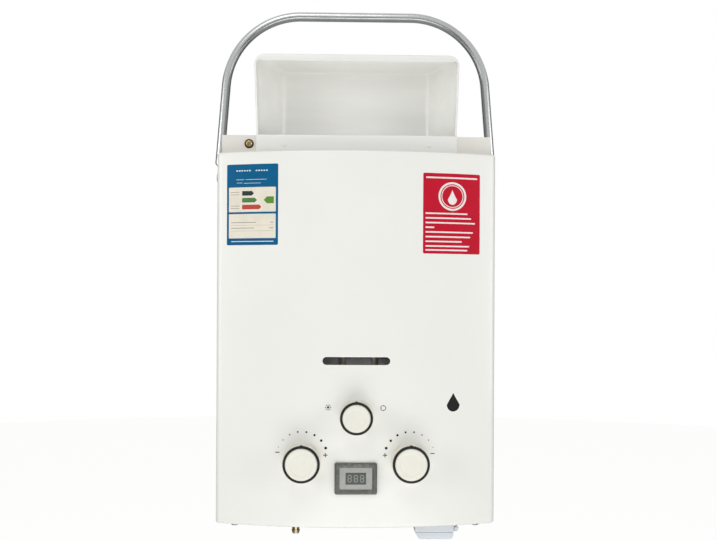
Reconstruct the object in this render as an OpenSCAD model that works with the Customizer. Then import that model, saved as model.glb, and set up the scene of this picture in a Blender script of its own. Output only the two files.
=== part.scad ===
// Portable propane water heater for wall hanging or carrying.
// +Z up, the front faces -Y, +X is on the right seen from the front.
// The origin is the centre of the hanging hole on the rear face of the back plate.

/* [Case] */
// Width of the front cover over its side walls
case_w = 290; // [286:1:310]
// Height of the front cover
case_h = 384; // [380:1:410]
// Depth of the side walls, from the wall to the vertical front corners
side_d = 100; // [99:0.5:112]
// How far the bowed front stands forward of its vertical corners
bow_d = 22; // [20:1:28]
// Thickness of the sheet that the cover, plates and hood are bent from
sheet_t = 1; // [0.8:0.1:1.2]
// Outer radius of the vertical front corners
corner_r = 7; // [5:0.5:9]
// Depth of the folded return along the cover's top and bottom edges
return_d = 9; // [7:0.5:9]
// Drop from the cover's top edge to the hanging hole
hang_drop = 30; // [24:1:40]
// Radius of the round part of the hanging keyhole
hang_r = 5.5; // [4.5:0.5:7]
// Half width of the keyhole's upper slot
hang_slot_r = 2.6; // [2:0.1:3]

/* [Front openings] */
// Length of the viewing slot, end to end
slot_w = 69; // [50:1:80]
// Height of the viewing slot
slot_h = 8; // [6:0.5:10]
// Height of the viewing slot above the season knob
slot_rise = 56.2; // [52:0.2:60]
// Radius of the holes that the knob spindles pass through
knob_hole_r = 5; // [4:0.5:7]

/* [Knobs] */
// Distance of the gas and water knobs from the centre line
knob_x = 54.8; // [53:0.2:57]
// Drop from the cover's top edge to the gas and water knobs
knob_drop = 316.5; // [315:0.5:318]
// Height of the season knob above the gas and water knobs
season_rise = 45.9; // [42:0.1:50]
// Radius of the cap of the gas and water knobs
cap_r = 16.3; // [15:0.1:17]
// Radius of the cap of the season knob
season_cap_r = 14.2; // [13:0.1:15]
// Width of the dark ring that shows around a cap
skirt_w = 2.3; // [1.5:0.1:3]
// Thickness of the dark ring
skirt_t = 3; // [2:0.5:5]
// Length of a knob from its back to its front face
knob_len = 20; // [16:0.5:24]
// Radius of a knob spindle
spindle_r = 3; // [2.5:0.1:3.5]

/* [Display] */
// Drop from the gas and water knobs to the display's centre
display_fall = 16.9; // [12:0.1:18]
// Width of the display bezel
bezel_w = 42; // [38:0.5:46]
// Height of the display bezel
bezel_h = 31; // [29:0.5:33]
// How far the bezel stands in front of the cover
bezel_t = 2; // [1:0.5:3]
// Width of the bezel's frame
bezel_rim = 3.8; // [3:0.2:5]

/* [Flue] */
// Height of the rail above the cover's top edge
rail_h = 20; // [16:1:24]
// How far the rail's front face lies behind the vertical front corners
rail_inset = 9; // [8:0.5:10]
// How far the rail stops short of the cover's sides
rail_end = 4; // [3:0.5:8]
// Height of the hood above the cover's top edge
hood_h = 106.5; // [95:0.5:115]
// Half width of the hood's mouth at its foot
hood_foot_hw = 105.4; // [100:0.2:110]
// Half width of the hood's mouth at its lip
hood_lip_hw = 108; // [104:0.2:112]
// Half width of the hood's back wall
hood_back_hw = 85; // [82:0.5:92]
// Distance of the hood's back wall from the wall
hood_back_y = 24; // [20:0.5:28]
// Height of the lip that hangs from the front of the hood's roof
lip_h = 7.4; // [5:0.2:10]
// Radius of the corners of the hood's mouth
hood_corner_r = 11; // [8:0.5:14]
// Distance of the flange rivets from the centre line
rivet_x = 76; // [70:0.5:85]
// Radius of the rivet heads
rivet_r = 2; // [1.5:0.1:2.5]
// Distance of the rail screw from the centre line
rail_screw_x = 112.8; // [111:0.2:120]

/* [Handle] */
// Radius of the handle tube
tube_r = 5; // [4.5:0.1:5]
// Wall thickness of the handle tube
tube_wall = 1.2; // [1:0.1:1.5]
// Height of the handle's top bar above the cover's top edge, to its centre line
bar_h = 165; // [155:1:185]
// Radius of the handle's bends, to the centre line
handle_bend = 84; // [70:1:88]
// Angle by which each leg splays outwards
splay = 4.5; // [4.2:0.1:5]
// Distance of the legs from the case's side, at the cover's top edge, to the centre line
leg_off = 6.6; // [6.4:0.1:8]
// Distance of the handle's plane from the wall
handle_y = 30; // [26:1:40]
// Drop from the cover's top edge to the handle's pivots
pivot_drop = 16; // [14:0.5:18]
// Radius of the shank of a pivot bolt
pivot_r = 3; // [2.5:0.1:3.5]
// Thickness of the flattened end of a leg
paddle_t = 3; // [2.4:0.2:3.2]
// Radius of the round end of a leg
paddle_r = 7; // [6:0.2:8]

/* [Burner and heat exchanger] */
// Half width of the heat exchanger, chamber and burner frame
core_hw = 100; // [98:0.5:102]
// Depth of the heat exchanger, chamber and burner frame
core_d = 70; // [68:0.5:72]
// Gap between the back plate and the heat exchanger
core_back = 18; // [17:0.5:20]
// Drop from the cover's top edge to the top of the heat exchanger
core_drop = 60; // [54:1:64]
// Height of the finned heat exchanger
fin_h = 50; // [44:1:54]
// Number of heat exchanger fins
fin_count = 30; // [16:2:34]
// Thickness of a fin
fin_t = 0.8; // [0.6:0.1:1.2]
// Number of burner bars
bar_count = 5; // [3:1:6]
// Height of a burner bar
burner_h = 26; // [22:1:27]
// Outer radius of the water pipes
pipe_r = 5.5; // [5:0.1:5.8]
// Wall thickness of the water pipes
pipe_wall = 1; // [0.8:0.1:1.2]
// Bend radius of the water pipes
pipe_bend = 8; // [7.5:0.1:8.2]

/* [Connections] */
// Outer radius of the water connectors' threads, half-inch pipe thread
thread_r = 10.48; // [10.2:0.01:10.6]
// How far the water connectors stand below the case
thread_len = 14; // [12:0.5:16]
// Outer radius of the gas hose nipple
nipple_r = 4.6; // [4:0.1:5]
// How far the gas nipple stands below the case
nipple_len = 23; // [18:0.5:26]
// Distance of the gas nipple from the centre line
nipple_x = 64; // [62:0.5:66]
// Distance of the cold water inlet from the centre line
inlet_x = 38; // [36:0.5:40]
// Distance of the hot water outlet from the case's left side
outlet_side = 23; // [21:0.5:25]

/* [Battery box] */
// Distance of the battery box's centre from the case's right side
battery_side = 62; // [60:0.5:64]
// Radius of a D cell
cell_r = 16.6; // [16:0.1:16.8]
// Length of a D cell
cell_len = 61.5; // [60:0.5:62]
// Wall thickness of the battery box
box_wall = 2; // [1.6:0.1:2.4]
// How far the battery box and its lid stand below the case
box_drop = 18; // [16:0.5:20]
// Thickness of the battery lid
lid_t = 7; // [6:0.5:8]

/* [Fits] */
// Gap between a shaft and its hole, on the radius
run_gap = 0.05; // [0.02:0.01:0.1]
// Gap between pieces that move past each other
move_gap = 0.3; // [0.3:0.05:0.6]
// Radius of small fixing screws
screw_r = 2; // [1.5:0.1:2.5]
// Radius of the screw heads
screw_head_r = 4; // [3.5:0.1:4.5]

/* [Hidden] */
$fn = 48;

// Height of the screw heads
screw_head_h = 2.4;

// Levels
z_top = hang_drop;
z_bot = z_top - case_h;
z_knob = z_top - knob_drop;
z_season = z_knob + season_rise;
z_slot = z_season + slot_rise;
z_display = z_knob - display_fall;
// Cuts reach this far past what they go through
past = 5;

// Bowed front, an arc about a vertical line behind the wall
half_w = case_w / 2;
in_w = half_w - sheet_t;
bow_r = (half_w * half_w + bow_d * bow_d) / (2 * bow_d);
bow_cy = bow_r - side_d - bow_d;
// Corner circles are this much larger, so that they cross the bow and the sides cleanly
corner_cross = 0.02;
function bow_y(x, inset = 0) = bow_cy - sqrt(pow(bow_r - inset, 2) - x * x);

// Stiffening folds, air slots and cover screws of the case
flange_d = 15;
deck_fold_h = 10;
deck_fold_end = 20;
hang_slot_rise = 6;
vent_w = 46;
vent_h = 5;
vent_x = 52;
vent_z = z_bot + 50;
vent_pitch = 14;
vent_rows = 5;
under_vent_w = 41;
under_vent_x = -2;
under_vent_y = -88;
cover_screw_x = half_w - 20;
cover_screw_y = -side_d + 2;
cover_screw_len = 6;

// Rail and hood
rail_y = -(side_d - rail_inset);
rail_hw = half_w - rail_end;
sill_z = z_top + rail_h;
foot_front = rail_y + 2 * sheet_t;
flue_hw = 80;
flue_y0 = foot_front + 5;
flue_y1 = -hood_back_y - 6;
hood_back_r = 8;
hood_back_drop = 1;
rail_screw_h = 11;
rail_screw_len = 7;

// Core: collector, heat exchanger, chamber and burner, one above the other
core_y1 = -core_back - sheet_t;
core_y0 = core_y1 - core_d;
core_cy = (core_y0 + core_y1) / 2;
core_corner_r = 3;
z_fins1 = z_top - core_drop;
z_fins0 = z_fins1 - fin_h;
z_frame1 = z_slot + 9.4;
frame_h = 32;
z_frame0 = z_frame1 - frame_h;
z_burner1 = z_frame1 - 4;
z_burner0 = z_burner1 - burner_h;
ledge_w = 4;
tube_pitch = 2 * pipe_bend;
tube_count = 4;
tube_z = (z_fins0 + z_fins1) / 2;
end_plate_t = 1.5;
tube_end = core_hw + 3;
fin_edge = 3;
cutout_r = 8;
cutout_t = 5;
cutout_pin_r = 5;
cutout_pin = 4;
cutout_z = z_fins0 - 12;
function tube_y(i) = core_cy + (i - (tube_count - 1) / 2) * tube_pitch;

// Burner bars and the manifold that feeds them
bar_pitch = 2 * core_hw / (bar_count + 1);
blade_w = 8;
head_w = 12;
head_h = 8;
head_step = 2;
web_w = 6;
port_w = 2;
port_pitch = 6;
port_depth = 3;
port_count = 10;
venturi_r = 8;
venturi_wall = 1.5;
z_venturi = z_burner0 - venturi_r - venturi_wall;
venturi_y0 = core_y0 + 7;
manifold_r = 6;
manifold_y = core_y0 - 9;
manifold_wall = 2;
manifold_end = 3;
manifold_hw = bar_pitch * (bar_count - 1) / 2 + 10;
jet_r0 = 3.5;
jet_r1 = 2;
jet_in = 2;
strap_hw = 4;
strap_t = 1;
strap_z = z_frame0 + 5;

// Electrodes in front of the burner frame
wire_r = 0.9;
wire_bend = 2;
wire_z = z_frame1 - 2.5;
wire_in = 12;
rod_y = core_y0 - 4;
insulator_r = 3;
insulator_z0 = z_frame0 + 8;
insulator_z1 = z_frame1 - 6;
clamp_h = 4;
spark_x = 20;
sensor_x = -14;

// Valves
valve_y0 = -95;
valve_y1 = -45;
link_y = -62;
valve_hw = 25;
valve_hh = 20;
housing_r = 25;
housing_x0 = -6;
housing_x1 = 22;
rod_r = 3;
rod_in = 5;
rod_travel = 4;
rod_collar_w = 3;
rod_collar_x = -18;
rod_collar_t = 3;
lid_screw = 12;
lid_screw_in = 5;
housing_in = 5;
flange_x0 = housing_x0 + 10;
flange_x1 = housing_x0 + 18;
flange_screw_r = housing_r - 2.5;
bushing_r = 15;
bushing_len = 9;
water_bushing_r = 14;
gas_x1 = -knob_x + valve_hw;
fork_hw = 10;
fork_t = 4;
fork_gap = 10;
water_x0 = housing_x1;
water_x1 = knob_x + 18;
water_hh = 9;
water_flange = 4;
water_flange_hw = 14;
cold_rise = 10;
inlet_hw = 9;
season_hw = 18;
season_hh = 15;
season_y0 = manifold_y + 1;
season_y1 = -64;
season_bushing_r = 11;
season_bushing = 8;
season_neck = 9;
season_neck_y = 4;
feed_r = 6;
feed_wall = 1.2;
feed_x = -knob_x - 8;
feed_y = link_y - 4;
switch_x = 20;
switch_hy = 5;
switch_z0 = z_knob + 14;
switch_z1 = z_knob + 22;

// Water ways
outlet_x = half_w - outlet_side;
coil_front = core_y0 - pipe_r;
coil_back = core_y1 + pipe_r;
coil_x = core_hw + pipe_r;
coil_low = z_frame1 + 33;
coil_high = coil_low + 32;
riser_x = coil_x + 12.5;
riser_y = -70;
water_y = tube_y(tube_count - 1);
nut_r = 8.5;
nut_h = 10;
z_union = coil_low - 16;
z_outlet = z_bot + 22;
shoulder_w = 1;
hex_w = 2.5;
hex_h = 10;
stem_in = 2;
bore_wall = 3.5;

// Gas nipple, with a collar that fills its hole in the bottom plate
gas_y = -50;
nipple_tip = 4;
nipple_wall = 1.8;
collar_w = 3;
collar_h = 8;
stem_step = 0.6;
z_gas_port = z_knob - valve_hh - 6;

// Igniter box on two posts from the back plate
igniter_gap = 4;
igniter_w = 40;
igniter_h = 70;
igniter_low = 10;
igniter_y0 = -90;
igniter_y1 = -42;

// Knobs: each seat is cut to the cover and stands just proud of it
seat_rim = 1.2;
seat_proud = 1;
skirt_r = cap_r + skirt_w;
season_skirt_r = season_cap_r + skirt_w;
function seat_front(x, r) = bow_y(max(0, abs(x) - r)) - seat_proud;
knob_back = seat_front(knob_x, skirt_r + seat_rim) - move_gap;
season_back = seat_front(0, season_skirt_r + seat_rim) - move_gap;
bushing_depth = 24;
season_depth = bushing_depth - 6;
spindle_in_cap = 13;
cap_edge = 2;
cap_taper = 0.5;
ring_back = 1.5;
ring_gap = 0.1;
grip_in = 0.4;
dish_in = 4;
dish_slope = 2;
dish_depth = 0.6;
pointer_r = 1.3;
pointer_in = 0.6;

// Display
display_y = bow_y(0);
bezel_in = 1;
cut_w = bezel_w - 2 * bezel_rim + 2 * bezel_in;
cut_h = bezel_h - 2 * bezel_rim + 2 * bezel_in;
panel_d = 8;
panel_step = 0.8;
window_hw = 10.4;
window_hh = 6;
window_step = 1.2;
board_t = 1.6;
digits_hw = 12;
digits_hh = 7;
digits_d = 4.4;

// Battery box
battery_x = half_w - battery_side;
cell_gap = 1;
box_in_w = 2 * cell_r + 2.8 * cell_gap;
box_in_d = 4 * cell_r + 3.6 * cell_gap;
box_x0 = battery_x - box_in_w / 2 - box_wall;
box_x1 = battery_x + box_in_w / 2 + box_wall;
box_y1 = -21;
box_y0 = box_y1 - box_in_d - 2 * box_wall;
z_box0 = z_bot - box_drop + lid_t;
spring_gap = 4.5;
z_cells = z_box0 + cell_gap;
z_box1 = z_cells + cell_len + spring_gap + box_wall;
function cell_y(i) = (box_y0 + box_y1) / 2 + (i - 0.5) * (2 * cell_r + cell_gap);
pin_r = 1.5;
hinge_r = 3;
hinge_x = box_x1 + hinge_r + move_gap;
hinge_z = z_box0 + hinge_r;
cell_cap_r = 4.8;
cell_cap_h = 2;
ear_end = 6;
ear_len = 8;
pin_end = 4;
lid_slant = 4;
lid_edge = 3;
lid_bevel = 2;
knuckle_end = 16;
strap_thick = 3;

// Handle
leg_x = half_w + leg_off;
pivot_z = z_top - pivot_drop;
spacer_t = 1.2;
paddle_x = half_w + spacer_t + move_gap;
bar_z = z_top + bar_h;
leg_tan = tan(splay);
corner_x = leg_x - bar_h * leg_tan;
vent_r = 1.2;
vent_rise = 12;
nut_hex_r = 6;
nut_hex_h = 4;
bolt_head_h = 3.5;
washer_r = 6.5;
joint_lap = 1;
joint_step = 0.02;
bolt_head_r = 5.5;
paddle_up = bolt_head_r + 1;

// Least gap between neighbouring curls of a contact spring, measured on points
spring_turns = 3;
spring_wire = 0.45;
spring_r0 = 6;
spring_r1 = 3;
curl_rings = 8;
function spring_point(k) = let (n = spring_turns * curl_rings, a = 360 * k / curl_rings,
    r = spring_r0 + (spring_r1 - spring_r0) * k / n)
    [r * cos(a), r * sin(a), -(spring_gap - 2 * spring_wire) * k / n];
spring_self_gap = min([for (i = [0 : (spring_turns - 1) * curl_rings])
    norm(spring_point(i) - spring_point(i + curl_rings)) - 2 * spring_wire]);
echo(spring_self_gap = spring_self_gap);

// ---------- shapes shared by several pieces ----------

// A block between two corners
module block(x, y, z) {
    translate([x[0], y[0], z[0]]) cube([x[1] - x[0], y[1] - y[0], z[1] - z[0]]);
}

// A round bar along X, Y or Z between two values of that axis
module bar_x(r, x, y, z) {
    translate([x[0], y, z]) rotate([0, 90, 0]) cylinder(r = r, h = x[1] - x[0]);
}
module bar_y(r, x, y, z) {
    translate([x, y[0], z]) rotate([-90, 0, 0]) cylinder(r = r, h = y[1] - y[0]);
}
module bar_z(r, x, y, z) {
    translate([x, y, z[0]]) cylinder(r = r, h = z[1] - z[0]);
}

// Left and right copies of a piece drawn on the right
module both() {
    children();
    mirror([1, 0, 0]) children();
}

// The cover's outline seen from above, or one set in from it
module plan(inset, back = 0) {
    hw = half_w - inset;
    r = corner_r - inset;
    big_r = bow_r - inset;
    fx = hw - r;
    fy = bow_cy - sqrt(pow(big_r - r, 2) - fx * fx);
    to_bow = [fx, fy - bow_cy] / (big_r - r);
    far = 2 * r;
    difference() {
        intersection() {
            translate([0, bow_cy]) circle(r = big_r, $fn = 360);
            translate([-hw, -2 * side_d]) square([2 * hw, 2 * side_d + back]);
        }
        for (s = [-1, 1]) scale([s, 1]) difference() {
            polygon([[fx, fy], [hw + 1, fy], [hw + 1, fy - far], [fx, fy] + to_bow * far]);
            translate([fx, fy]) circle(r = r + corner_cross);
        }
    }
}

// A rounded slot seen from the front
module slot_cut(w, h, x, z, y) {
    run = w - h;
    bar_y(h / 2, x - run / 2, y, z);
    bar_y(h / 2, x + run / 2, y, z);
    block([x - run / 2, x + run / 2], y, [z - h / 2, z + h / 2]);
}

// Everything outside the cover's bowed front face
module outside_bow(z) {
    difference() {
        block([-half_w, half_w], [-2 * side_d, bow_cy], z);
        translate([0, bow_cy, z[0] - 1]) cylinder(r = bow_r, h = z[1] - z[0] + 2, $fn = 360);
    }
}

// Part of a torus up to a quarter turn, a shorter one cut from the quarter by a wedge
module bend_part(r, bend, turn) {
    far = 3 * bend;
    if (turn > 89.9) rotate_extrude(angle = 90) translate([bend, 0]) circle(r = r);
    else intersection() {
        rotate_extrude(angle = 90) translate([bend, 0]) circle(r = r);
        translate([0, 0, -2 * r]) linear_extrude(4 * r)
            polygon([[0, 0], [far, 0], [far * cos(turn), far * sin(turn)]]);
    }
}

// A solid rod along points, with bends of one radius: straight runs and parts of a torus.
// A bend beside a slanting run is a little thinner, and the runs lap over its ends.
function unit(v) = v / norm(v);
function turn_at(p, i) = acos(unit(p[i] - p[i - 1]) * unit(p[i + 1] - p[i]));
function is_slanting(p, i) = turn_at(p, i) < 89.9;
function run_start(p, i, bend) = i == 0 || i == len(p) - 1 ? 0
    : bend * tan(turn_at(p, i) / 2) - (is_slanting(p, i) ? joint_lap : 0);
module along(a, d, r, h) {
    translate(a) rotate([0, acos(d.z), atan2(d.y, d.x)]) cylinder(r = r, h = h);
}
module rod(p, r, bend) {
    last = len(p) - 1;
    for (i = [0 : last - 1]) {
        d = unit(p[i + 1] - p[i]);
        a = p[i] + d * run_start(p, i, bend);
        b = p[i + 1] - d * run_start(p, i + 1, bend);
        along(a, d, r, norm(b - a));
    }
    for (i = [1 : last - 1]) {
        d1 = unit(p[i] - p[i - 1]);
        d2 = unit(p[i + 1] - p[i]);
        turn = turn_at(p, i);
        m = unit(d2 - d1 * (d1 * d2));
        c = p[i] - d1 * bend * tan(turn / 2) + m * bend;
        w = cross(-m, d1);
        multmatrix([[-m.x, d1.x, w.x, c.x], [-m.y, d1.y, w.y, c.y], [-m.z, d1.z, w.z, c.z]])
            bend_part(is_slanting(p, i) ? r - joint_step : r, bend, turn);
    }
}

// A pipe: a rod with a smaller rod taken out of it
module pipe(p, r, wall, bend) {
    difference() {
        rod(p, r, bend);
        rod(p, r - wall, bend);
    }
}

// A pan-head screw along Z, head down, its head's face at z
module screw_down(x, y, z, len) {
    bar_z(screw_r, x, y, [z, z + len]);
    translate([x, y, z - screw_head_h])
        cylinder(r1 = screw_head_r * 0.8, r2 = screw_head_r, h = screw_head_h);
}

// ---------- case ----------

module back_plate() color("#c9cbc8") difference() {
    union() {
        block([-in_w, in_w], [-sheet_t, 0], [z_bot, z_top]);
        both() block([in_w - sheet_t, in_w], [-flange_d, -sheet_t],
            [z_bot + 2 * sheet_t, z_top - sheet_t]);
    }
    bar_y(hang_r, 0, [-past, past], 0);
    block([-hang_slot_r, hang_slot_r], [-past, past], [0, hang_r + hang_slot_rise]);
    bar_y(hang_slot_r, 0, [-past, past], hang_r + hang_slot_rise);
    for (row = [0 : vent_rows - 1]) both()
        slot_cut(vent_w, vent_h, vent_x, vent_z + row * vent_pitch, [-past, past]);
}

module top_deck() color("#e3e3df") difference() {
    union() {
        block([-in_w, in_w], [rail_y, -sheet_t], [z_top - sheet_t, z_top]);
        block([-rail_hw, rail_hw], [rail_y, rail_y + sheet_t], [z_top, z_top + rail_h]);
        block([-in_w + deck_fold_end, in_w - deck_fold_end], [-2 * sheet_t, -sheet_t],
            [z_top - sheet_t - deck_fold_h, z_top - sheet_t]);
    }
    block([-flue_hw, flue_hw], [flue_y0, flue_y1], [z_top - past, z_top + past]);
    bar_y(screw_r, -rail_screw_x, [rail_y - past, rail_y + past], z_top + rail_screw_h);
    both() bar_y(rivet_r / 2, rivet_x, [rail_y - past, rail_y + past], z_top + rail_h / 2);
}

module bottom_plate() color("#c9cbc8") difference() {
    translate([0, 0, z_bot + sheet_t]) linear_extrude(sheet_t) difference() {
        plan(sheet_t);
        translate([-half_w, -sheet_t]) square([case_w, side_d]);
    }
    block([box_x0, box_x1], [box_y0, box_y1], [z_bot - past, z_bot + past]);
    for (x = [inlet_x, -outlet_x])
        bar_z(thread_r + shoulder_w, x, water_y, [z_bot - past, z_bot + past]);
    bar_z(nipple_r + collar_w, -nipple_x, gas_y, [z_bot - past, z_bot + past]);
    both() bar_z(screw_r, cover_screw_x, cover_screw_y, [z_bot - past, z_bot + past]);
    for (row = [0 : vent_rows - 1])
        translate([under_vent_x, under_vent_y + row * vent_pitch, z_bot - past])
            linear_extrude(2 * past) {
                run = under_vent_w - vent_h;
                square([run, vent_h], center = true);
                for (s = [-1, 1]) translate([s * run / 2, 0]) circle(r = vent_h / 2);
            }
}

module front_cover() color("#eeede8") difference() {
    union() {
        translate([0, 0, z_bot]) linear_extrude(case_h) difference() {
            plan(0);
            plan(sheet_t, past);
        }
        translate([0, 0, z_top - sheet_t]) linear_extrude(sheet_t) intersection() {
            plan(sheet_t);
            translate([-half_w, -2 * side_d]) square([case_w, 2 * side_d + rail_y]);
        }
        translate([0, 0, z_bot]) linear_extrude(sheet_t) intersection() {
            plan(sheet_t);
            translate([-half_w, -2 * side_d]) square([case_w, side_d + return_d]);
        }
    }
    slot_cut(slot_w, slot_h, 0, z_slot, [-2 * side_d, -side_d]);
    both() bar_y(knob_hole_r, knob_x, [-2 * side_d, -side_d], z_knob);
    bar_y(knob_hole_r, 0, [-2 * side_d, -side_d], z_season);
    block([-cut_w / 2, cut_w / 2], [-2 * side_d, -side_d], [z_display - cut_h / 2, z_display + cut_h / 2]);
    block([box_x0, box_x1], [box_y0, 0], [z_bot - past, z_bot + past]);
    both() bar_z(screw_r, cover_screw_x, cover_screw_y, [z_bot - past, z_bot + past]);
    both() bar_x(pivot_r, [half_w - past, half_w + past], -handle_y, pivot_z);
}

module cover_screws() color("#a9a9a5") both()
    screw_down(cover_screw_x, cover_screw_y, z_bot, cover_screw_len);

// ---------- flue ----------

// The hood's walls: the rounded mouth in front, drawn together to the back wall
module hood_body(inset, front) {
    r = hood_corner_r - inset;
    top = z_top + hood_h - inset;
    back = -hood_back_y - inset;
    back_r = hood_back_r - inset;
    hull() {
        both() {
            translate([hood_lip_hw - inset - r, front, top - r]) rotate([-90, 0, 0])
                cylinder(r = r, h = 0.1, $fn = 32);
            translate([hood_back_hw - inset - back_r, back - back_r, top - back_r - hood_back_drop])
                sphere(r = back_r, $fn = 24);
            block([hood_foot_hw - inset - 1, hood_foot_hw - inset], [front, front + 0.1],
                [sill_z, sill_z + 0.1]);
            translate([hood_back_hw - inset - back_r, back - back_r, sill_z])
                cylinder(r = back_r, h = 0.1, $fn = 24);
        }
    }
}

// The collar under the hood, seen from above
module hood_foot_plan(inset) {
    y0 = foot_front + inset;
    y1 = -hood_back_y - inset;
    polygon([[-hood_foot_hw + inset, y0], [hood_foot_hw - inset, y0],
        [hood_back_hw - inset, y1], [-hood_back_hw + inset, y1]]);
}

module flue_hood() color("#d8d8d4") {
    difference() {
        union() {
            hood_body(0, foot_front);
            block([-hood_foot_hw, hood_foot_hw], [rail_y - sheet_t, foot_front + sheet_t],
                [sill_z, sill_z + sheet_t]);
        }
        difference() {
            hood_body(sheet_t, foot_front - 0.5);
            block([-hood_lip_hw, hood_lip_hw], [foot_front - 1, foot_front + sheet_t],
                [z_top + hood_h - lip_h, z_top + hood_h]);
            block([-hood_foot_hw, hood_foot_hw], [foot_front - 1, foot_front + sheet_t],
                [sill_z - 1, sill_z + sheet_t]);
        }
    }
    translate([0, 0, z_top]) linear_extrude(rail_h) difference() {
        hood_foot_plan(0);
        hood_foot_plan(sheet_t);
    }
    difference() {
        block([-hood_foot_hw, hood_foot_hw], [rail_y - sheet_t, rail_y], [z_top, sill_z + sheet_t]);
        both() bar_y(rivet_r / 2, rivet_x, [rail_y - past, rail_y + past], z_top + rail_h / 2);
    }
}

module hood_rivets() color("#e8e8e6") both() {
    bar_y(rivet_r / 2, rivet_x, [rail_y - sheet_t, rail_y + sheet_t], z_top + rail_h / 2);
    translate([rivet_x, rail_y - sheet_t, z_top + rail_h / 2]) rotate([90, 0, 0])
        cylinder(r1 = rivet_r, r2 = rivet_r / 2, h = rivet_r / 2);
}

module rail_screw() color("#b9a77a") {
    z = z_top + rail_screw_h;
    washer_t = 0.8;
    bar_y(screw_r, -rail_screw_x, [rail_y, rail_y + rail_screw_len], z);
    bar_y(screw_head_r + washer_t, -rail_screw_x, [rail_y - washer_t, rail_y], z);
    translate([-rail_screw_x, rail_y - washer_t, z]) rotate([90, 0, 0])
        cylinder(r1 = screw_head_r, r2 = screw_head_r * 0.7, h = screw_head_h);
}

module flue_collector() color("#b8bab8") difference() {
    hull() {
        block([-core_hw, core_hw], [core_y0, core_y1], [z_fins1, z_fins1 + 1]);
        block([-flue_hw, flue_hw], [flue_y0, flue_y1], [z_top - sheet_t - 1, z_top - sheet_t]);
    }
    hull() {
        block([-core_hw + sheet_t, core_hw - sheet_t], [core_y0 + sheet_t, core_y1 - sheet_t],
            [z_fins1 - 1, z_fins1]);
        block([-flue_hw + sheet_t, flue_hw - sheet_t], [flue_y0 + sheet_t, flue_y1 - sheet_t],
            [z_top - sheet_t, z_top]);
    }
}

// ---------- heat exchanger and burner ----------

// The core's outline seen from above, with rounded corners
module core_plan() {
    r = core_corner_r;
    translate([-core_hw + r, core_y0]) square([2 * core_hw - 2 * r, core_d]);
    translate([-core_hw, core_y0 + r]) square([2 * core_hw, core_d - 2 * r]);
    for (x = [-core_hw + r, core_hw - r], y = [core_y0 + r, core_y1 - r])
        translate([x, y]) circle(r = r);
}

// An open sheet ring of the core's outline
module core_ring(z, wall_t) {
    translate([0, 0, z[0]]) linear_extrude(z[1] - z[0]) difference() {
        core_plan();
        translate([-core_hw + wall_t, core_y0 + sheet_t])
            square([2 * core_hw - 2 * wall_t, core_d - 2 * sheet_t]);
    }
}

module heat_exchanger_fins() color("#b87348") difference() {
    union() {
        core_ring([z_fins0, z_fins1], end_plate_t);
        for (i = [0 : fin_count - 1]) {
            x = (i - (fin_count - 1) / 2) * 2 * (core_hw - fin_edge) / fin_count;
            block([x - fin_t / 2, x + fin_t / 2], [core_y0 + sheet_t, core_y1 - sheet_t],
                [z_fins0 + 1, z_fins1 - 1]);
        }
    }
    for (i = [0 : tube_count - 1])
        bar_x(pipe_r, [-core_hw - 1, core_hw + 1], tube_y(i), tube_z);
}

module heat_exchanger_tubes() color("#c07a4c") {
    for (i = [0 : tube_count - 1]) difference() {
        bar_x(pipe_r, [-tube_end, tube_end], tube_y(i), tube_z);
        bar_x(pipe_r - pipe_wall, [-tube_end - 1, tube_end + 1], tube_y(i), tube_z);
    }
    for (i = [0, 1, 2]) {
        s = i == 1 ? -1 : 1;
        translate([s * tube_end, (tube_y(i) + tube_y(i + 1)) / 2, tube_z])
            rotate([0, 0, s > 0 ? -90 : 90])
            rotate_extrude(angle = 180) translate([pipe_bend, 0]) difference() {
                circle(r = pipe_r);
                circle(r = pipe_r - pipe_wall);
            }
    }
}

module combustion_chamber() color("#b87348")
    core_ring([z_frame1, z_fins0], sheet_t);

module chamber_coil() color("#c07a4c")
    pipe([[riser_x, riser_y, z_union], [riser_x, riser_y, coil_low],
        [riser_x, coil_front, coil_low], [-coil_x, coil_front, coil_low],
        [-coil_x, coil_back, coil_low], [coil_x, coil_back, coil_low],
        [coil_x, coil_back, coil_high], [coil_x, coil_front, coil_high],
        [-riser_x, coil_front, coil_high], [-riser_x, coil_front, tube_z],
        [-riser_x, tube_y(0), tube_z], [-tube_end, tube_y(0), tube_z]],
        pipe_r, pipe_wall, pipe_bend);

module overheat_cutout() color("#3c3c3c") {
    bar_x(cutout_r, [-core_hw - cutout_t, -core_hw], core_cy, cutout_z);
    bar_x(cutout_pin_r, [-core_hw - cutout_t - cutout_pin, -core_hw - cutout_t], core_cy, cutout_z);
}

module burner_frame() color("#aeb0ae") {
    difference() {
        core_ring([z_frame0, z_frame1], sheet_t);
        for (x = [spark_x, sensor_x])
            bar_y(wire_r + 1, x, [core_y0 - 1, core_y0 + 2 * sheet_t], wire_z);
    }
    for (y = [core_y0 + sheet_t, core_y1 - sheet_t - ledge_w])
        block([-core_hw + sheet_t, core_hw - sheet_t], [y, y + ledge_w],
            [z_burner0 - sheet_t, z_burner0]);
    both() block([core_hw - sheet_t, core_hw], [core_y1, -sheet_t], [z_frame0, z_frame1]);
}

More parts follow.
